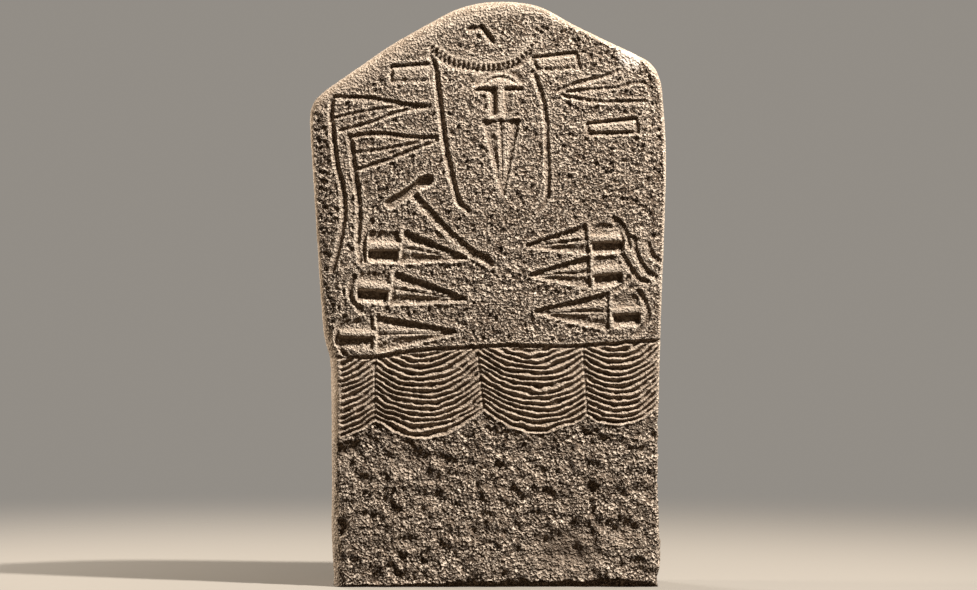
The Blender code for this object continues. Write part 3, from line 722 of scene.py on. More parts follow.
fold = (SPOTS[:, 1] - lowest_fold) / FOLD_PITCH
for size, strength in FOLD_WAVER:
    fold += strength * cloud(SPOTS * (0.45, 1), size, seed=11)
rib = np.abs(2 * (fold % 1) - 1)
in_belt = (lowest_fold > 0) & (fold > -0.5) & (SPOTS[:, 1] < top_height)
uneven = 1 + 0.30 * cloud(SPOTS, 0.020, seed=12) + 0.25 * cloud(SPOTS, 0.009, seed=13)
fold_depths = FOLD_DEPTH * rib**1.2 * uneven
fold_depths += FOLD_CHIPS * np.clip(cloud(SPOTS * (1, 0.7), 0.013, seed=15), 0, 1)
fold_depths *= eased((to_left + 0.004) / 0.026)
deepen(np.flatnonzero(in_belt), fold_depths[in_belt])
print(f"{len(PANEL_SAGS)} panels of folds, {FOLD_PITCH * 1000:.0f} mm apart")

# %% The belt's upper line and the lines between its panels
groove(waver(belt_top[4:], 0.0012, seed=7), 0.019, 0.0090)
groove(belt_top[:6], 0.017, 0.0055)
for edge in PANEL_EDGES[1:-1]:
    groove(waver(place(edge), 0.0005, seed=5), 0.013, 0.0085)
print(f"{int(in_belt.sum())} points in the belt")

# %% Curved strokes by the right edge
EDGE_STROKES = (
    ((0.703, 0.628), (0.746, 0.618), (0.779, 0.598), (0.791, 0.578)),
    ((0.746, 0.568), (0.790, 0.545), (0.843, 0.525), (0.882, 0.520)),
    ((0.815, 0.595), (0.832, 0.566), (0.882, 0.540), (0.938, 0.528)),
    ((0.888, 0.588), (0.920, 0.565), (0.964, 0.554)),
)
STROKE_WIDTH, STROKE_DEPTH = 0.023, 0.0075
for rows in EDGE_STROKES:
    cut(rows, STROKE_WIDTH, STROKE_DEPTH)
print(f"{len(EDGE_STROKES)} strokes by the right edge")

# %% [markdown]
# ## The rough foot
#
# Below the belt the stone was never dressed: it stood in the ground. It lies a little behind the front and swells
# slowly, with a few broad places where pieces have broken away. The lumps come later with the pecked grain; here the
# foot gets its level and its broken places, each an oval bowl with soft sides, bent by random hills so that no rim is
# a true oval. The bowls also say where the skin is shaded and less pecked.

# %% Level and broken places of the foot
FOOT_LEVEL, FOOT_SWELL = 0.001, 0.005
# Each: its middle, half its width and half its height in metres, and its depth.
SCOOPS = (
    ((0.440, 0.055), 0.190, 0.120, 0.017),
    ((0.745, 0.092), 0.100, 0.060, 0.009),
    ((-0.785, 0.229), 0.060, 0.060, 0.009),
    ((-0.464, 0.217), 0.095, 0.065, 0.010),
    ((-0.436, 0.075), 0.080, 0.045, 0.007),
)
DEEPEST_SCOOP = max(row[-1] for row in SCOOPS)
# How far the bowls are bent, over which size of hill, and the seeds for across and up.
BENDS = (0.030, 0.060, 5, 6), (0.012, 0.022, 7, 8)
below_belt = np.where(lowest_fold > 0, lowest_fold - 0.5 * FOLD_PITCH, 0) - SPOTS[:, 1]
foot_share = eased(below_belt / 0.010)
foot = FOOT_LEVEL * foot_share + FOOT_SWELL * eased(below_belt / 0.140) * cloud(SPOTS, 0.110, seed=4)
bent = SPOTS + sum(far * np.column_stack([cloud(SPOTS, size, seed) for seed in seeds]) for far, size, *seeds in BENDS)
shaded = np.zeros(len(SPOTS))
for middle, half_width, half_height, depth in SCOOPS:
    bowl = np.clip(1 - oval((SPOTS + bent) / 2, middle, half_width, half_height), 0, 1) ** 1.5 * foot_share
    foot += depth * bowl
    shaded = np.maximum(shaded, bowl * depth / DEEPEST_SCOOP)
in_foot = foot_share > 0
depths[in_foot] = np.maximum(depths * (1 - foot_share), foot)[in_foot]
print(f"the foot lies {foot.max() * 1000:.0f} mm behind the front at its deepest")

# %% [markdown]
# ## From depths to a block
#
# The front's plane is not quite flat either: it falls off towards the long edges. Each point goes back by its depth
# and this camber. Round the worn edge the marks fade out, and behind the silhouette rings run on to the back.

# %% Depth of every point on the front
CAMBER_REACH = 0.090
CAMBER_LEFT, CAMBER_RIGHT = 0.007, 0.004
camber = CAMBER_LEFT * np.clip(1 - to_left / CAMBER_REACH, 0, 1) ** 2
camber += CAMBER_RIGHT * np.clip(1 - to_right / CAMBER_REACH, 0, 1) ** 2

rounding = np.concatenate([np.zeros(NET_POINTS), *(depth for _, depth in edge_rings)])
back_off = FRONT + rounding + (camber + depths) * np.cos(turns)
front_points = np.column_stack([SPOTS[:, 0], back_off, SPOTS[:, 1]])
print(f"{len(front_points)} points set back from the block's front")

# %% Sides and back
SIDE_RINGS = 7
BACK_STEPS = 4
BACK_ROUND_INSET, BACK_ROUND_DEPTH = 0.055, 0.095
FOOT_RISE_BACK = 0.022


def band(first, second, count):
    """Squares between two rings of the same length that start at these points."""
    here = np.arange(count)
    there = np.roll(here, -1)
    return np.column_stack([first + here, first + there, second + there, second + here])


def halving_band(first, second, count):
    """Triangles from a ring to one with half as many points."""
    here = np.arange(0, count, 2)
    middle, after = here + 1, (here + 2) % count
    near, far = here // 2, (here // 2 + 1) % (count // 2)
    return np.concatenate(
        [
            np.column_stack([first + here, first + middle, second + near]),
            np.column_stack([first + middle, first + after, second + far]),
            np.column_stack([first + middle, second + far, second + near]),
        ]
    )


count = len(ring_net)
net_rows, net_columns = np.meshgrid(np.arange(ROWS), np.arange(COLUMNS), indexing="ij")
corner = (net_rows * (COLUMNS + 1) + net_columns).ravel()
squares = [np.column_stack([corner, corner + 1, corner + COLUMNS + 2, corner + COLUMNS + 1])]
ring_points = np.arange(count)
next_points = np.roll(ring_points, -1)
squares.append(
    np.column_stack([ring_net, ring_net[next_points], NET_POINTS + next_points, NET_POINTS + ring_points])
)
for step in range(EDGE_STEPS - 1):
    squares.append(band(NET_POINTS + step * count, NET_POINTS + (step + 1) * count, count))

points = [front_points]
total = len(front_points)
triangles = []
side_front = FRONT + ring_depth
side_back = BACK - BACK_ROUND_DEPTH
previous, ring_count, every = total - count, count, 1
for step in range(1, SIDE_RINGS + 1):
    halve = step in (1, 3)
    every *= 2 if halve else 1
    chosen = np.arange(0, count, every)
    y = side_front[chosen] + (side_back - side_front[chosen]) * step / SIDE_RINGS
    points.append(np.column_stack([ring_outer[chosen, 0], y, ring_outer[chosen, 1]]))
    if halve:
        triangles.append(halving_band(previous, total, ring_count))
    else:
        squares.append(band(previous, total, ring_count))
    previous, ring_count, total = total, len(chosen), total + len(chosen)
print(f"{SIDE_RINGS} rings along the sides, the last with {ring_count} points")


# %% The back, rounded at its edge and closed with a coarse net
outer = ring_outer[chosen]
back_rows, back_columns = ROWS // every, COLUMNS // every
sides = 2 * back_rows + back_columns + 1
back_inward = inward_of(outer[:sides]) * BACK_ROUND_INSET
back_near_foot = np.clip(1 - outer[:sides, 1] / FOOT_BLEND, 0, 1)
back_inward[:, 1] = back_inward[:, 1] * (1 - back_near_foot) + FOOT_RISE_BACK * back_near_foot
foot_turn = np.linspace(1, 0, back_columns + 1)[1:-1]
back_inward = np.vstack([back_inward, on_line(back_inward[0], back_inward[-1], foot_turn)])
for step in range(BACK_STEPS - 1, -1, -1):
    turn = math.radians(90) * step / BACK_STEPS
    spots = outer + back_inward * (1 - math.sin(turn))
    y = np.full(len(outer), BACK - BACK_ROUND_DEPTH * (1 - math.cos(turn)))
    points.append(np.column_stack([spots[:, 0], y, spots[:, 1]]))
    squares.append(band(previous, total, ring_count))
    previous, total = total, total + ring_count

corner_at = np.array([0, back_rows, back_rows + back_columns, 2 * back_rows + back_columns])
ring_order = np.arange(ring_count)
left_run = ring_order[: corner_at[1] + 1]
top_run = ring_order[corner_at[1] : corner_at[2] + 1]
right_run = ring_order[corner_at[2] : corner_at[3] + 1][::-1]
bottom_run = np.concatenate([ring_order[corner_at[3] :], [0]])[::-1]
shares = (np.linspace(0, 1, steps + 1) for steps in (back_columns, back_rows))
back_net = coons(*(spots[run] for run in (left_run, right_run, bottom_run, top_run)), *shares)
back_index = np.full((back_rows + 1, back_columns + 1), -1)
back_index[:, 0], back_index[:, -1] = previous + left_run, previous + right_run
back_index[0], back_index[-1] = previous + bottom_run, previous + top_run
inner = back_net[1:-1, 1:-1].reshape(-1, 2)
back_index[1:-1, 1:-1] = total + np.arange(len(inner)).reshape(back_rows - 1, back_columns - 1)
points.append(np.column_stack([inner[:, 0], np.full(len(inner), BACK), inner[:, 1]]))
corners = (back_index[:-1, :-1], back_index[1:, :-1], back_index[1:, 1:], back_index[:-1, 1:])
squares.append(np.column_stack([corner.ravel() for corner in corners]))
points = np.concatenate(points)
print(f"{len(points)} points in the whole block")

# %% [markdown]
# ## One closed mesh
#
# The pieces of the net, the rings and the back share their points, so the mesh closes without any merging. Masks go
# with it as attributes, each a number from 0 to 1 for every point: how much the stone is pecked there, where it is
# rough and lumpy, where its edge is worn and takes a painted sheen, how hollow a place is and so how much dirt and
# painted shade it takes, where a lip takes a painted highlight and where a chip is bright, where the plainer sides and
# back swell and are earthy, and how free a point is to move above the ground. The grain and the colours read them
# later.


# %% Find the hollows and the lips of the cuts
def softened(grid, rounds):
    """The grid after each value has taken the mean of its neighbours a few times."""
    for _ in range(rounds):
        padded = np.pad(grid, 1, mode="edge")
        grid = (padded[:-2, 1:-1] + padded[2:, 1:-1] + padded[1:-1, :-2] + padded[1:-1, 2:] + 2 * grid) / 6
    return grid


def on_net(values):
    """The values of the net's points as a grid."""
    return values[:NET_POINTS].reshape(ROWS + 1, COLUMNS + 1)


# Points lower than the softened depths around them lie in a cut and take dirt and painted shade; points higher, and the
# marked lines, are lips and take a painted highlight. Both also thin the pecking.
below_mean = (on_net(depths) - softened(on_net(depths), 8)).ravel()
cut_below = np.clip((below_mean - 0.0008) / 0.0040, 0, 1)
lip = np.maximum(np.clip(-below_mean / 0.0016, 0, 1), painted_highlight[:NET_POINTS])
print(f"{int((cut_below > 0.5).sum())} points in cuts, {int((lip > 0.5).sum())} on lips")


# %% Make the stone's mesh
def new_object(name, mesh):
    made = bpy.data.objects.new(name, mesh)
    bpy.context.scene.collection.objects.link(made)
    return made


faces = [tuple(face) for block in (*squares, *triangles) for face in block.tolist()]
mesh = bpy.data.meshes.new("stone")
mesh.from_pydata(points.tolist(), [], faces)
shape = bmesh.new()
shape.from_mesh(mesh)
bmesh.ops.recalc_face_normals(shape, faces=shape.faces)
shape.to_mesh(mesh)
open_edges = sum(not edge.is_manifold for edge in shape.edges)
shape.free()
stone = new_object("stele_stone", mesh)

print(f"{len(mesh.polygons)} faces, {open_edges} open edges")

# %% Masks: worn edge with painted sheen, pecking and chip
# The left slope of the gable is rubbed and takes a painted sheen as far as this row of the outline, and this far
# into the front.
RUBBED_SHEEN_ROW, RUBBED_SHEEN_REACH = 20, 0.042
# Sides and back are pecked more weakly. The change lies this far behind the front and takes this long.
PLAIN_PECKING, PLAIN_START, PLAIN_LENGTH = 0.30, 0.045, 0.080
CHIP = ((0.792, 0.903), 0.024, 0.038)

height = SPOTS[:, 1]
turned = np.sin(turns)
# The worn edge with its painted sheen: on the turned faces of the edge, more above 0.8 m, and along the gable's rim.
worn = turned * eased((height - 0.02) / 0.10) * (0.4 + 0.6 * eased((height - 0.80) / 0.15))
rubbed_sheen_rim = arris[left_corner : RUBBED_SHEEN_ROW * OUTLINE_STEPS : 8]
worn[:NET_POINTS] = 0.85 * (1 - eased(away_from(SPOTS[:NET_POINTS], rubbed_sheen_rim) / RUBBED_SHEEN_REACH))
chip = eased(1.5 - oval(bent, *CHIP))
far_back = eased((front_points[:, 1] - points[:, 1].min() - PLAIN_START) / PLAIN_LENGTH)
undressed, belt_net = foot_share[:NET_POINTS], in_belt[:NET_POINTS]
cut_below, lip = (values * (1 - 0.8 * undressed) for values in (cut_below, lip))
edge_of_cut = np.maximum(lip, cut_below)
carved = np.clip(softened(on_net(depths), 2).ravel() / 0.005, 0, 1)
pecked = (1 - 0.8 * worn) * (1 - 0.5 * shaded) * (1 - 0.75 * chip) * (1 - 0.7 * calm)
pecked[in_belt] *= 0.45
pecked[:NET_POINTS] *= (1 - 0.65 * edge_of_cut) * (1 - 0.35 * carved * (1 - undressed))
pecked += (PLAIN_PECKING - pecked) * far_back
# In the belt the lips take less painted highlight, and the gaps between the folds take more dirt and painted shade.
lip = np.where(belt_net, 0.3 * lip, lip)
cut_below = np.where(belt_net, np.clip(1.2 * cut_below + 0.15, 0, 1), cut_below)
print(f"pecked with {pecked.mean():.0%} of the full strength on average")

# %% Masks: rough and lumpy stone, earth and light
# The plain stone between the marks isn't true either, most of all in the middle of the chest.
UNTRUE_PLACE = ((0.02, 0.47), 0.20, 0.33)
untrue = 0.30 * eased(1.3 - oval(SPOTS, *UNTRUE_PLACE)) + 0.12 * eased(0.3 + 0.7 * cloud(SPOTS, 0.16, seed=9))
untrue[:NET_POINTS] *= 1 - 0.8 * np.maximum(lip, cut_below)
untrue[in_belt] = 0
dressed_down = (1 - 0.8 * worn) * (1 - far_back)
unshaded = 1 - 0.45 * shaded
rough = np.maximum(foot_share * unshaded, untrue) * dressed_down
lumpy = np.maximum(eased((below_belt + 0.004) / 0.090) * unshaded, untrue) * dressed_down
# Above 1.7 m the turned faces of the edge take the earthy tint and less wear and painted sheen, and the wear and sheen
# fade out towards the left.
in_light = turned * eased((height - 1.70) / 0.10)
worn *= (0.1 + 0.9 * eased((SPOTS[:, 0] + 0.35) / 0.30)) * (1 - 0.7 * in_light)

# Each mask: its values on the first points, and its value on all the others.
MASKS = {
    "pecked": (pecked, PLAIN_PECKING),
    "rough": (rough, 0.0),
    "lumpy": (lumpy, 0.0),
    "worn": (worn, 0.1),
    "chip": (chip, 0.0),
    # Dirt and painted shade in the cuts, and at three quarters in the broken scoops of the foot.
    "hollow": (np.maximum(cut_below, 0.75 * shaded[:NET_POINTS]), 0.0),
    # Painted highlight on the lips of the cuts and the marked lines.
    "lip": (lip, 0.0),
    "wild": (np.zeros(len(SPOTS)), 1.0),
    "earthy": (0.9 * in_light, 1.0),
    "free": (eased(points[:, 2] / 0.012), 1.0),
}
for name, (first_values, elsewhere) in MASKS.items():
    values = np.full(len(points), elsewhere, dtype=np.float32)
    values[: len(first_values)] = first_values
    mesh.attributes.new(name, "FLOAT", "POINT").data.foreach_set("value", values)
    print(f"mask {name}: mean {values.mean():.2f}")


# %% [markdown]
# ## Pecked grain with Geometry Nodes
#
# The whole front was dressed by pecking: thousands of blows with a hard stone, each of which leaves a small pit. What
# repeats like this is a rule over a surface, and that is Geometry Nodes' work. The tree moves each point inwards
# along its normal by a few noises of different sizes, weighed by the masks. It only ever moves inwards, so the stone
# never grows past its block. A few short helpers keep the wiring of this tree and of the material's trees readable.


# %% Tools for node trees
def node(tree, kind, inputs=(), **settings):
    """A new node with its settings, and its inputs linked or set by name or number."""
    made = tree.nodes.new(kind)
    for name, value in settings.items():
        setattr(made, name, value)
    for name, value in dict(inputs).items():
        if isinstance(value, bpy.types.NodeSocket):
            tree.links.new(value, made.inputs[name])
        else:
            made.inputs[name].default_value = value
    return made


def group(kind, name, inputs, outputs):
    """A node tree with named inputs and outputs, then its two end nodes. An input is a kind of socket or a number."""
    tree = bpy.data.node_groups.new(name, kind)
    for label, value in inputs.items():
        given = "Float" if isinstance(value, float) else value
        socket = tree.interface.new_socket(name=label, in_out="INPUT", socket_type=f"NodeSocket{given}")
        if isinstance(value, float):
            socket.default_value = value
    for label, given in outputs.items():
        tree.interface.new_socket(name=label, in_out="OUTPUT", socket_type=f"NodeSocket{given}")
    return tree, tree.nodes.new("NodeGroupInput").outputs, tree.nodes.new("NodeGroupOutput").inputs


def maths(tree, operation, first, *others, clamp=False):
    """Numbers joined by one operation, from the first to the last."""
    for other in others:
        first = node(tree, "ShaderNodeMath", {0: first, 1: other}, operation=operation, use_clamp=clamp).outputs[0]
    return first


def spread(tree, value, low, high, to_low=0.0, to_high=1.0):
    """Stretches a value's range from low..high to the new one."""
    values = {"Value": value, "From Min": low, "From Max": high, "To Min": to_low, "To Max": to_high}
    return node(tree, "ShaderNodeMapRange", values).outputs[0]


# %% Build the pecking tree
PECKING = {
    "Grain size": 0.0075, "Grain depth": 0.0050,
    "Pit size": 0.017, "Pit depth": 0.0068,
    "Lump size": 0.045, "Lump depth": 0.0135,
    "Swell size": 0.260, "Swell depth": 0.0040,
    "Seed": 3.0,
}


def peck_tree():
    """Moves points inwards by grain, pits, lumps and a slow swell. The masks say how much of each."""
    inputs = {"Geometry": "Geometry", **PECKING, "Material": "Material"}
    tree, given, result = group("GeometryNodeTree", "pecking", inputs, {"Geometry": "Geometry"})
    position = node(tree, "GeometryNodeInputPosition").outputs[0]

    def mask(name):
        return node(tree, "GeometryNodeInputNamedAttribute", {"Name": name}, data_type="FLOAT").outputs["Attribute"]

    def relief(kind, weight, detail, offset, level, full):
        """Noise of one kind, from none at its level to its full depth, weighed by a mask."""
        values = {
            "Vector": position,
            "W": maths(tree, "ADD", given["Seed"], offset),
            "Scale": maths(tree, "DIVIDE", 1.0, given[f"{kind} size"]),
            "Detail": detail,
        }
        made = node(tree, "ShaderNodeTexNoise", values, noise_dimensions="4D").outputs[0]
        return maths(tree, "MULTIPLY", spread(tree, made, level, full), given[f"{kind} depth"], weight)

    tame = maths(tree, "SUBTRACT", 1.0, maths(tree, "MULTIPLY", mask("rough"), 0.6))
    wider = maths(tree, "ADD", 1.0, maths(tree, "MULTIPLY", mask("wild"), 3.0))
    reliefs = (
        relief("Grain", mask("pecked"), 1.0, 0.0, 0.25, 0.75),
        relief("Pit", maths(tree, "MULTIPLY", mask("pecked"), tame), 2.0, 10.0, 0.40, 0.74),
        relief("Lump", mask("lumpy"), 3.0, 20.0, 0.36, 0.76),
        relief("Swell", wider, 2.0, 30.0, 0.25, 0.75),
    )
    held = maths(tree, "MULTIPLY", maths(tree, "ADD", *reliefs), mask("free"), -1.0)
    normal = node(tree, "GeometryNodeInputNormal").outputs[0]
    inwards = node(tree, "ShaderNodeVectorMath", {0: normal, "Scale": held}, operation="SCALE").outputs[0]
    move = node(tree, "GeometryNodeSetPosition", {"Geometry": given["Geometry"], "Offset": inwards})
    whole = node(tree, "GeometryNodeRealizeInstances", {0: move.outputs[0]})
    painted = node(tree, "GeometryNodeSetMaterial", {"Geometry": whole.outputs[0], "Material": given["Material"]})
    tree.links.new(painted.outputs[0], result["Geometry"])
    return tree


# %% Peck the stone and keep the result as a plain mesh
stone_finish = bpy.data.materials.new("pecked_stone")


def bake_nodes(piece, tree, values):
    """Runs a tree on a piece and replaces the piece's mesh by the result."""
    modifier = piece.modifiers.new(tree.name, "NODES")
    modifier.node_group = tree
    for item in tree.interface.items_tree:
        if item.item_type == "SOCKET" and item.in_out == "INPUT" and item.name in values:
            modifier[item.identifier] = values[item.name]
    graph = bpy.context.evaluated_depsgraph_get()
    made = bpy.data.meshes.new_from_object(piece.evaluated_get(graph))
    piece.modifiers.remove(modifier)
    piece.data = made


bake_nodes(stone, peck_tree(), {**PECKING, "Material": stone_finish})
stone.data.shade_smooth()
print(f"{len(stone.data.polygons)} faces after pecking, material {stone.data.materials[0].name}")

# %% [markdown]
# ## The stone's finish
#
# The stone is a warm, grey-beige marble. Its skin is matt, paler where the edge is rubbed, with a painted highlight on
# the rims, the lips of the cuts and the peaks of the grain, darker with dirt and painted shade in the cuts, the broken
# scoops and the pits of the grain, and mottled in patches as wide as a hand. Each effect is a small node group with its
# own inputs, so that the same effect can be placed in another material with other values.


# %% Shader groups: mottling, a tint by a mask, and fine grain
def noise(tree, where, scale, detail=2.0, roughness=0.5):
    values = {"Vector": where, "Scale": scale, "Detail": detail, "Roughness": roughness}
    return node(tree, "ShaderNodeTexNoise", values).outputs[0]


def blend(tree, share, first, second):
    """A mix of two colours. A mix node's colours are its sockets 6 and 7, and its colour comes out of 2."""
    return node(tree, "ShaderNodeMix", {0: share, 6: first, 7: second}, data_type="RGBA").outputs[2]


def mottling_group():
    """Patches of two tones as wide as a hand, with small pale flecks."""
    inputs = {"Where": "Vector", "Pale": "Color", "Middle": "Color", "Deep": "Color", "Patch scale": 3.0}
    tree, given, result = group("ShaderNodeTree", "mottling", inputs, {"Color": "Color"})
    wide = noise(tree, given["Where"], given["Patch scale"], 3.0, 0.55)
    small = noise(tree, given["Where"], maths(tree, "MULTIPLY", given["Patch scale"], 9.0), 4.0, 0.65)
    base = blend(tree, spread(tree, wide, 0.38, 0.62), given["Deep"], given["Middle"])
    flecks = maths(tree, "MULTIPLY", spread(tree, small, 0.35, 0.65), 0.55)
    tree.links.new(blend(tree, flecks, base, given["Pale"]), result["Color"])
    return tree


def tint_group(name, scale, high, least):
    """Blends a colour towards a tint where a mask says so. Noise makes it uneven, from its least share to all."""
    inputs = {"Where": "Vector", "Color": "Color", "Tint": "Color", "Mask": 0.0, "Amount": 0.6}
    tree, given, result = group("ShaderNodeTree", name, inputs, {"Color": "Color"})
    uneven = spread(tree, noise(tree, given["Where"], scale, 3.0, 0.6), 0.3, high, least, 1.0)
    share = maths(tree, "MULTIPLY", given["Mask"], given["Amount"], uneven, clamp=True)
    tree.links.new(blend(tree, share, given["Color"], given["Tint"]), result["Color"])
    return tree


def grain_group():
    """The fine pecked grain: a height for the bump, and how deep in a pit or high on a peak each spot is."""
    inputs = {"Where": "Vector", "Pit size": 0.006, "Weight": 1.0, "Rough": 0.0}
    outputs = {"Height": "Float", "Pits": "Float", "Peaks": "Float"}
    tree, given, result = group("ShaderNodeTree", "fine_grain", inputs, outputs)
    scale = maths(tree, "DIVIDE", 1.0, given["Pit size"])
    coarse = noise(tree, given["Where"], scale, 0.0)
    fine = noise(tree, given["Where"], maths(tree, "MULTIPLY", scale, 1.9), 0.0)
    both = maths(tree, "ADD", maths(tree, "MULTIPLY", coarse, 0.6), maths(tree, "MULTIPLY", fine, 0.4))
    level = spread(tree, both, 0.36, 0.64)
    lumps = noise(tree, given["Where"], maths(tree, "MULTIPLY", scale, 0.42), 1.0, 0.6)
    lumps = maths(tree, "MULTIPLY", spread(tree, lumps, 0.3, 0.7, 0.0, 1.6), given["Rough"])
    weighed = maths(tree, "MULTIPLY", level, given["Weight"])
    tree.links.new(maths(tree, "ADD", weighed, lumps), result["Height"])
    for label, low, high in (("Pits", 0.74, 0.46), ("Peaks", 0.60, 0.95)):
        share = maths(tree, "MULTIPLY", spread(tree, level, low, high), given["Weight"])
        tree.links.new(share, result[label])
    return tree


# %% The stone's material
PALE = (0.74, 0.615, 0.50, 1.0)
MIDDLE = (0.56, 0.445, 0.345, 1.0)
DEEP = (0.38, 0.29, 0.215, 1.0)
# Dirt and painted shade for the cuts, scoops and grain pits.
DIRT_AND_SHADE = (0.042, 0.021, 0.008, 1.0)
# Paler wear and painted highlight for the rims, lips and grain peaks.
RUBBED_AND_HIGHLIGHT = (0.82, 0.71, 0.59, 1.0)
FRESH = (0.90, 0.80, 0.71, 1.0)
EARTH = (0.26, 0.195, 0.140, 1.0)
GRAIN_SIZE, BUMP_DISTANCE = 0.0087, 0.0082


def finish_stone(material):
    """Wires the groups into the stone's Principled shader."""
    material.use_nodes = True
    tree = material.node_tree
    shader = tree.nodes["Principled BSDF"]
    shader.inputs["Metallic"].default_value = 0.0
    shader.inputs["Specular IOR Level"].default_value = 0.25
    where = node(tree, "ShaderNodeTexCoord").outputs["Object"]

    def mask(name):
        return node(tree, "ShaderNodeAttribute", attribute_name=name).outputs["Fac"]

    def placed(made, **inputs):
        named = {name.replace("_", " "): value for name, value in inputs.items()}
        return node(tree, "ShaderNodeGroup", {"Where": where, **named}, node_tree=made).outputs

    weight = spread(tree, mask("pecked"), 0.0, 1.0, 0.10, 1.0)
    grain = placed(grain_group(), Pit_size=GRAIN_SIZE, Weight=weight, Rough=mask("rough"))
    tone = placed(mottling_group(), Pale=PALE, Middle=MIDDLE, Deep=DEEP, Patch_scale=3.2)["Color"]
    stains = spread(tree, noise(tree, where, 2.4, 5.0, 0.62), 0.42, 0.70, 0.35, 1.0)
    stained = maths(tree, "MULTIPLY", stains, mask("earthy"))
    # One group pales towards wear and painted highlights, the other darkens towards dirt, earth and painted shade.
    wear_and_highlight, dirt_and_shade = tint_group("wear_and_highlight", 14.0, 0.65, 0.45), tint_group("dirt_and_shade", 28.0, 0.7, 0.55)
    # Laid over each other from the first to the last: the group, its tint, where it lies and how strong it is.
    for made, tint, share, amount in (
        # Paler wear and painted sheen on the rims, painted highlights on the lips and marked lines, and wear with
        # painted highlight on the grain's peaks.
        (wear_and_highlight, RUBBED_AND_HIGHLIGHT, mask("worn"), 0.6),
        (wear_and_highlight, RUBBED_AND_HIGHLIGHT, mask("lip"), 0.7),
        (wear_and_highlight, RUBBED_AND_HIGHLIGHT, grain["Peaks"], 0.7),
        # Dirt and painted shade in the cuts, the belt's folds and the broken scoops, and in the grain's pits.
        (dirt_and_shade, DIRT_AND_SHADE, mask("hollow"), 0.95),
        (dirt_and_shade, DIRT_AND_SHADE, grain["Pits"], 1.0),
        (wear_and_highlight, FRESH, mask("chip"), 1.0),
        (dirt_and_shade, EARTH, stained, 0.8),
    ):
        tone = placed(made, Color=tone, Tint=tint, Mask=share, Amount=amount)["Color"]
    tree.links.new(tone, shader.inputs["Base Color"])
    tree.links.new(spread(tree, grain["Height"], 0.0, 1.0, 0.95, 0.78), shader.inputs["Roughness"])
    bump = node(tree, "ShaderNodeBump", {"Strength": 1.0, "Distance": BUMP_DISTANCE, "Height": grain["Height"]})
    tree.links.new(bump.outputs["Normal"], shader.inputs["Normal"])


finish_stone(stone_finish)
print(f"{len(stone_finish.node_tree.nodes)} nodes in the stone's material")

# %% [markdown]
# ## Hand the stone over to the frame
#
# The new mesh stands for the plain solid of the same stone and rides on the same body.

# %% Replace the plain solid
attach(stone, "root")
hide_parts("stele")
print(f"{stone.name} takes the plain solid's place")

# %% [markdown]
# ## Floor, light and camera
#
# Low relief needs light from the side. One lamp stands high on the right and grazes the front, so that every upper
# wall of a cut is dark and every lower wall is bright. A weak lamp on the left shows the worn left edge, and a wide
# weak one behind lights the back without touching the front. The floor is plain and matt and fades out into the
# backdrop, which is the world itself, so no horizon cuts through the picture. The camera looks straight at the front
# through a long lens, as one photographs a relief.

# %% Floor
FLOOR_HALF = 9.0
FLOOR_COLOUR = (0.24, 0.220, 0.195, 1.0)
FADE_START, FADE_END = 1.2, 6.0


def finish_floor(material):
    """A plain matt floor whose alpha falls from all at the fade's start to none at its end."""
    material.use_nodes = True
    tree = material.node_tree
    shader = tree.nodes["Principled BSDF"]
    shader.inputs["Base Color"].default_value = FLOOR_COLOUR
    shader.inputs["Roughness"].default_value = 0.9
    where = node(tree, "ShaderNodeTexCoord").outputs["Object"]
    reach = node(tree, "ShaderNodeVectorMath", {0: where}, operation="LENGTH").outputs["Value"]
    values = {"Value": reach, "From Min": FADE_START, "From Max": FADE_END, "To Min": 1.0, "To Max": 0.0}
    fade = node(tree, "ShaderNodeMapRange", values, interpolation_type="SMOOTHSTEP")
    tree.links.new(fade.outputs[0], shader.inputs["Alpha"])


floor_corners = [(x * FLOOR_HALF, y * FLOOR_HALF, 0) for x, y in ((-1, -1), (1, -1), (1, 1), (-1, 1))]
floor_mesh = bpy.data.meshes.new("floor")
floor_mesh.from_pydata(floor_corners, [], [(0, 1, 2, 3)])
floor = new_object("floor", floor_mesh)
floor_mesh.materials.append(bpy.data.materials.new("pale_floor"))
finish_floor(floor_mesh.materials[0])
floor.visible_diffuse = False
print(f"a floor of {2 * FLOOR_HALF:.0f} m, seen as far as {FADE_END:.0f} m")

# %% Lamps and backdrop
# Each lamp: its place, how far back its target lies, its size in metres, its power in watts and its colour.
LAMPS = {
    "raking_lamp": ((4.55, -2.65, 8.6), FRONT, 0.45, 2520.0, (1.0, 0.94, 0.86)),
    "left_lamp": ((-5.0, 0.7, 2.4), FRONT, 1.2, 225.0, (1.0, 0.88, 0.72)),
    "back_lamp": ((-3.4, 5.2, 4.2), BACK, 2.0, 330.0, (1.0, 0.95, 0.88)),
}
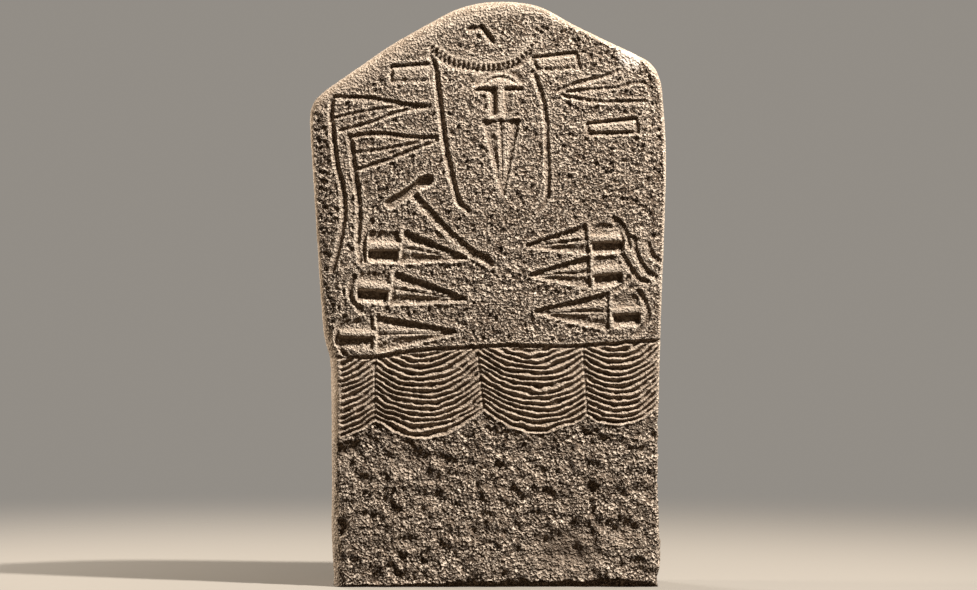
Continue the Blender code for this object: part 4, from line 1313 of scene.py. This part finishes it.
# The backdrop is pale where the camera looks at it, and nearly dark as a light.
BACKDROP, GLOW = (0.29, 0.268, 0.240, 1.0), (0.060, 0.041, 0.025, 1.0)

for name, (spot, target_back, size, watts, colour) in LAMPS.items():
    light = bpy.data.lights.new(name, "AREA")
    light.size, light.energy, light.color = size, watts, colour
    holder = new_object(name, light)
    holder.location = spot
    facing = Vector((0.0, target_back, HEIGHT / 2)) - Vector(spot)
    holder.rotation_euler = facing.to_track_quat("-Z", "Y").to_euler()
    holder.visible_camera = name != "back_lamp"
world = bpy.data.worlds.new("studio")
bpy.context.scene.world = world
world.use_nodes = True
seen = node(world.node_tree, "ShaderNodeLightPath").outputs["Is Camera Ray"]
backdrop = blend(world.node_tree, seen, GLOW, BACKDROP)
world.node_tree.links.new(backdrop, world.node_tree.nodes["Background"].inputs["Color"])
print(f"{len(LAMPS)} lamps, {sum(row[3] for row in LAMPS.values()):.0f} W in all")

# %% Camera
# In the photograph the stone's middle, ground line and top lie at these places, in pixels.
FRAME_WIDTH, FRAME_HEIGHT = 977, 590
STONE_MIDDLE_PX, GROUND_PX, TOP_PX = 487.75, 586.0, 1.2
CAMERA_DISTANCE = 12.0
SENSOR_WIDTH = 36.0
# The silhouette lies this far behind the block's front, so the lens is fitted to it there.
SILHOUETTE_BACK = 0.055
metres_per_px = HEIGHT / (GROUND_PX - TOP_PX)
camera_data = bpy.data.cameras.new("camera")
camera = new_object("camera", camera_data)
camera_data.sensor_width = SENSOR_WIDTH
camera_data.lens = SENSOR_WIDTH * (CAMERA_DISTANCE + SILHOUETTE_BACK) / (FRAME_WIDTH * metres_per_px)
camera.location = (
    (FRAME_WIDTH / 2 - STONE_MIDDLE_PX) * metres_per_px,
    FRONT - CAMERA_DISTANCE,
    (GROUND_PX - FRAME_HEIGHT / 2) * metres_per_px,
)
camera.rotation_euler = (math.radians(90), 0, 0)
bpy.context.scene.camera = camera
bpy.context.scene.view_settings.view_transform = "Standard"
print(f"a lens of {camera_data.lens:.0f} mm at {CAMERA_DISTANCE:.0f} m")
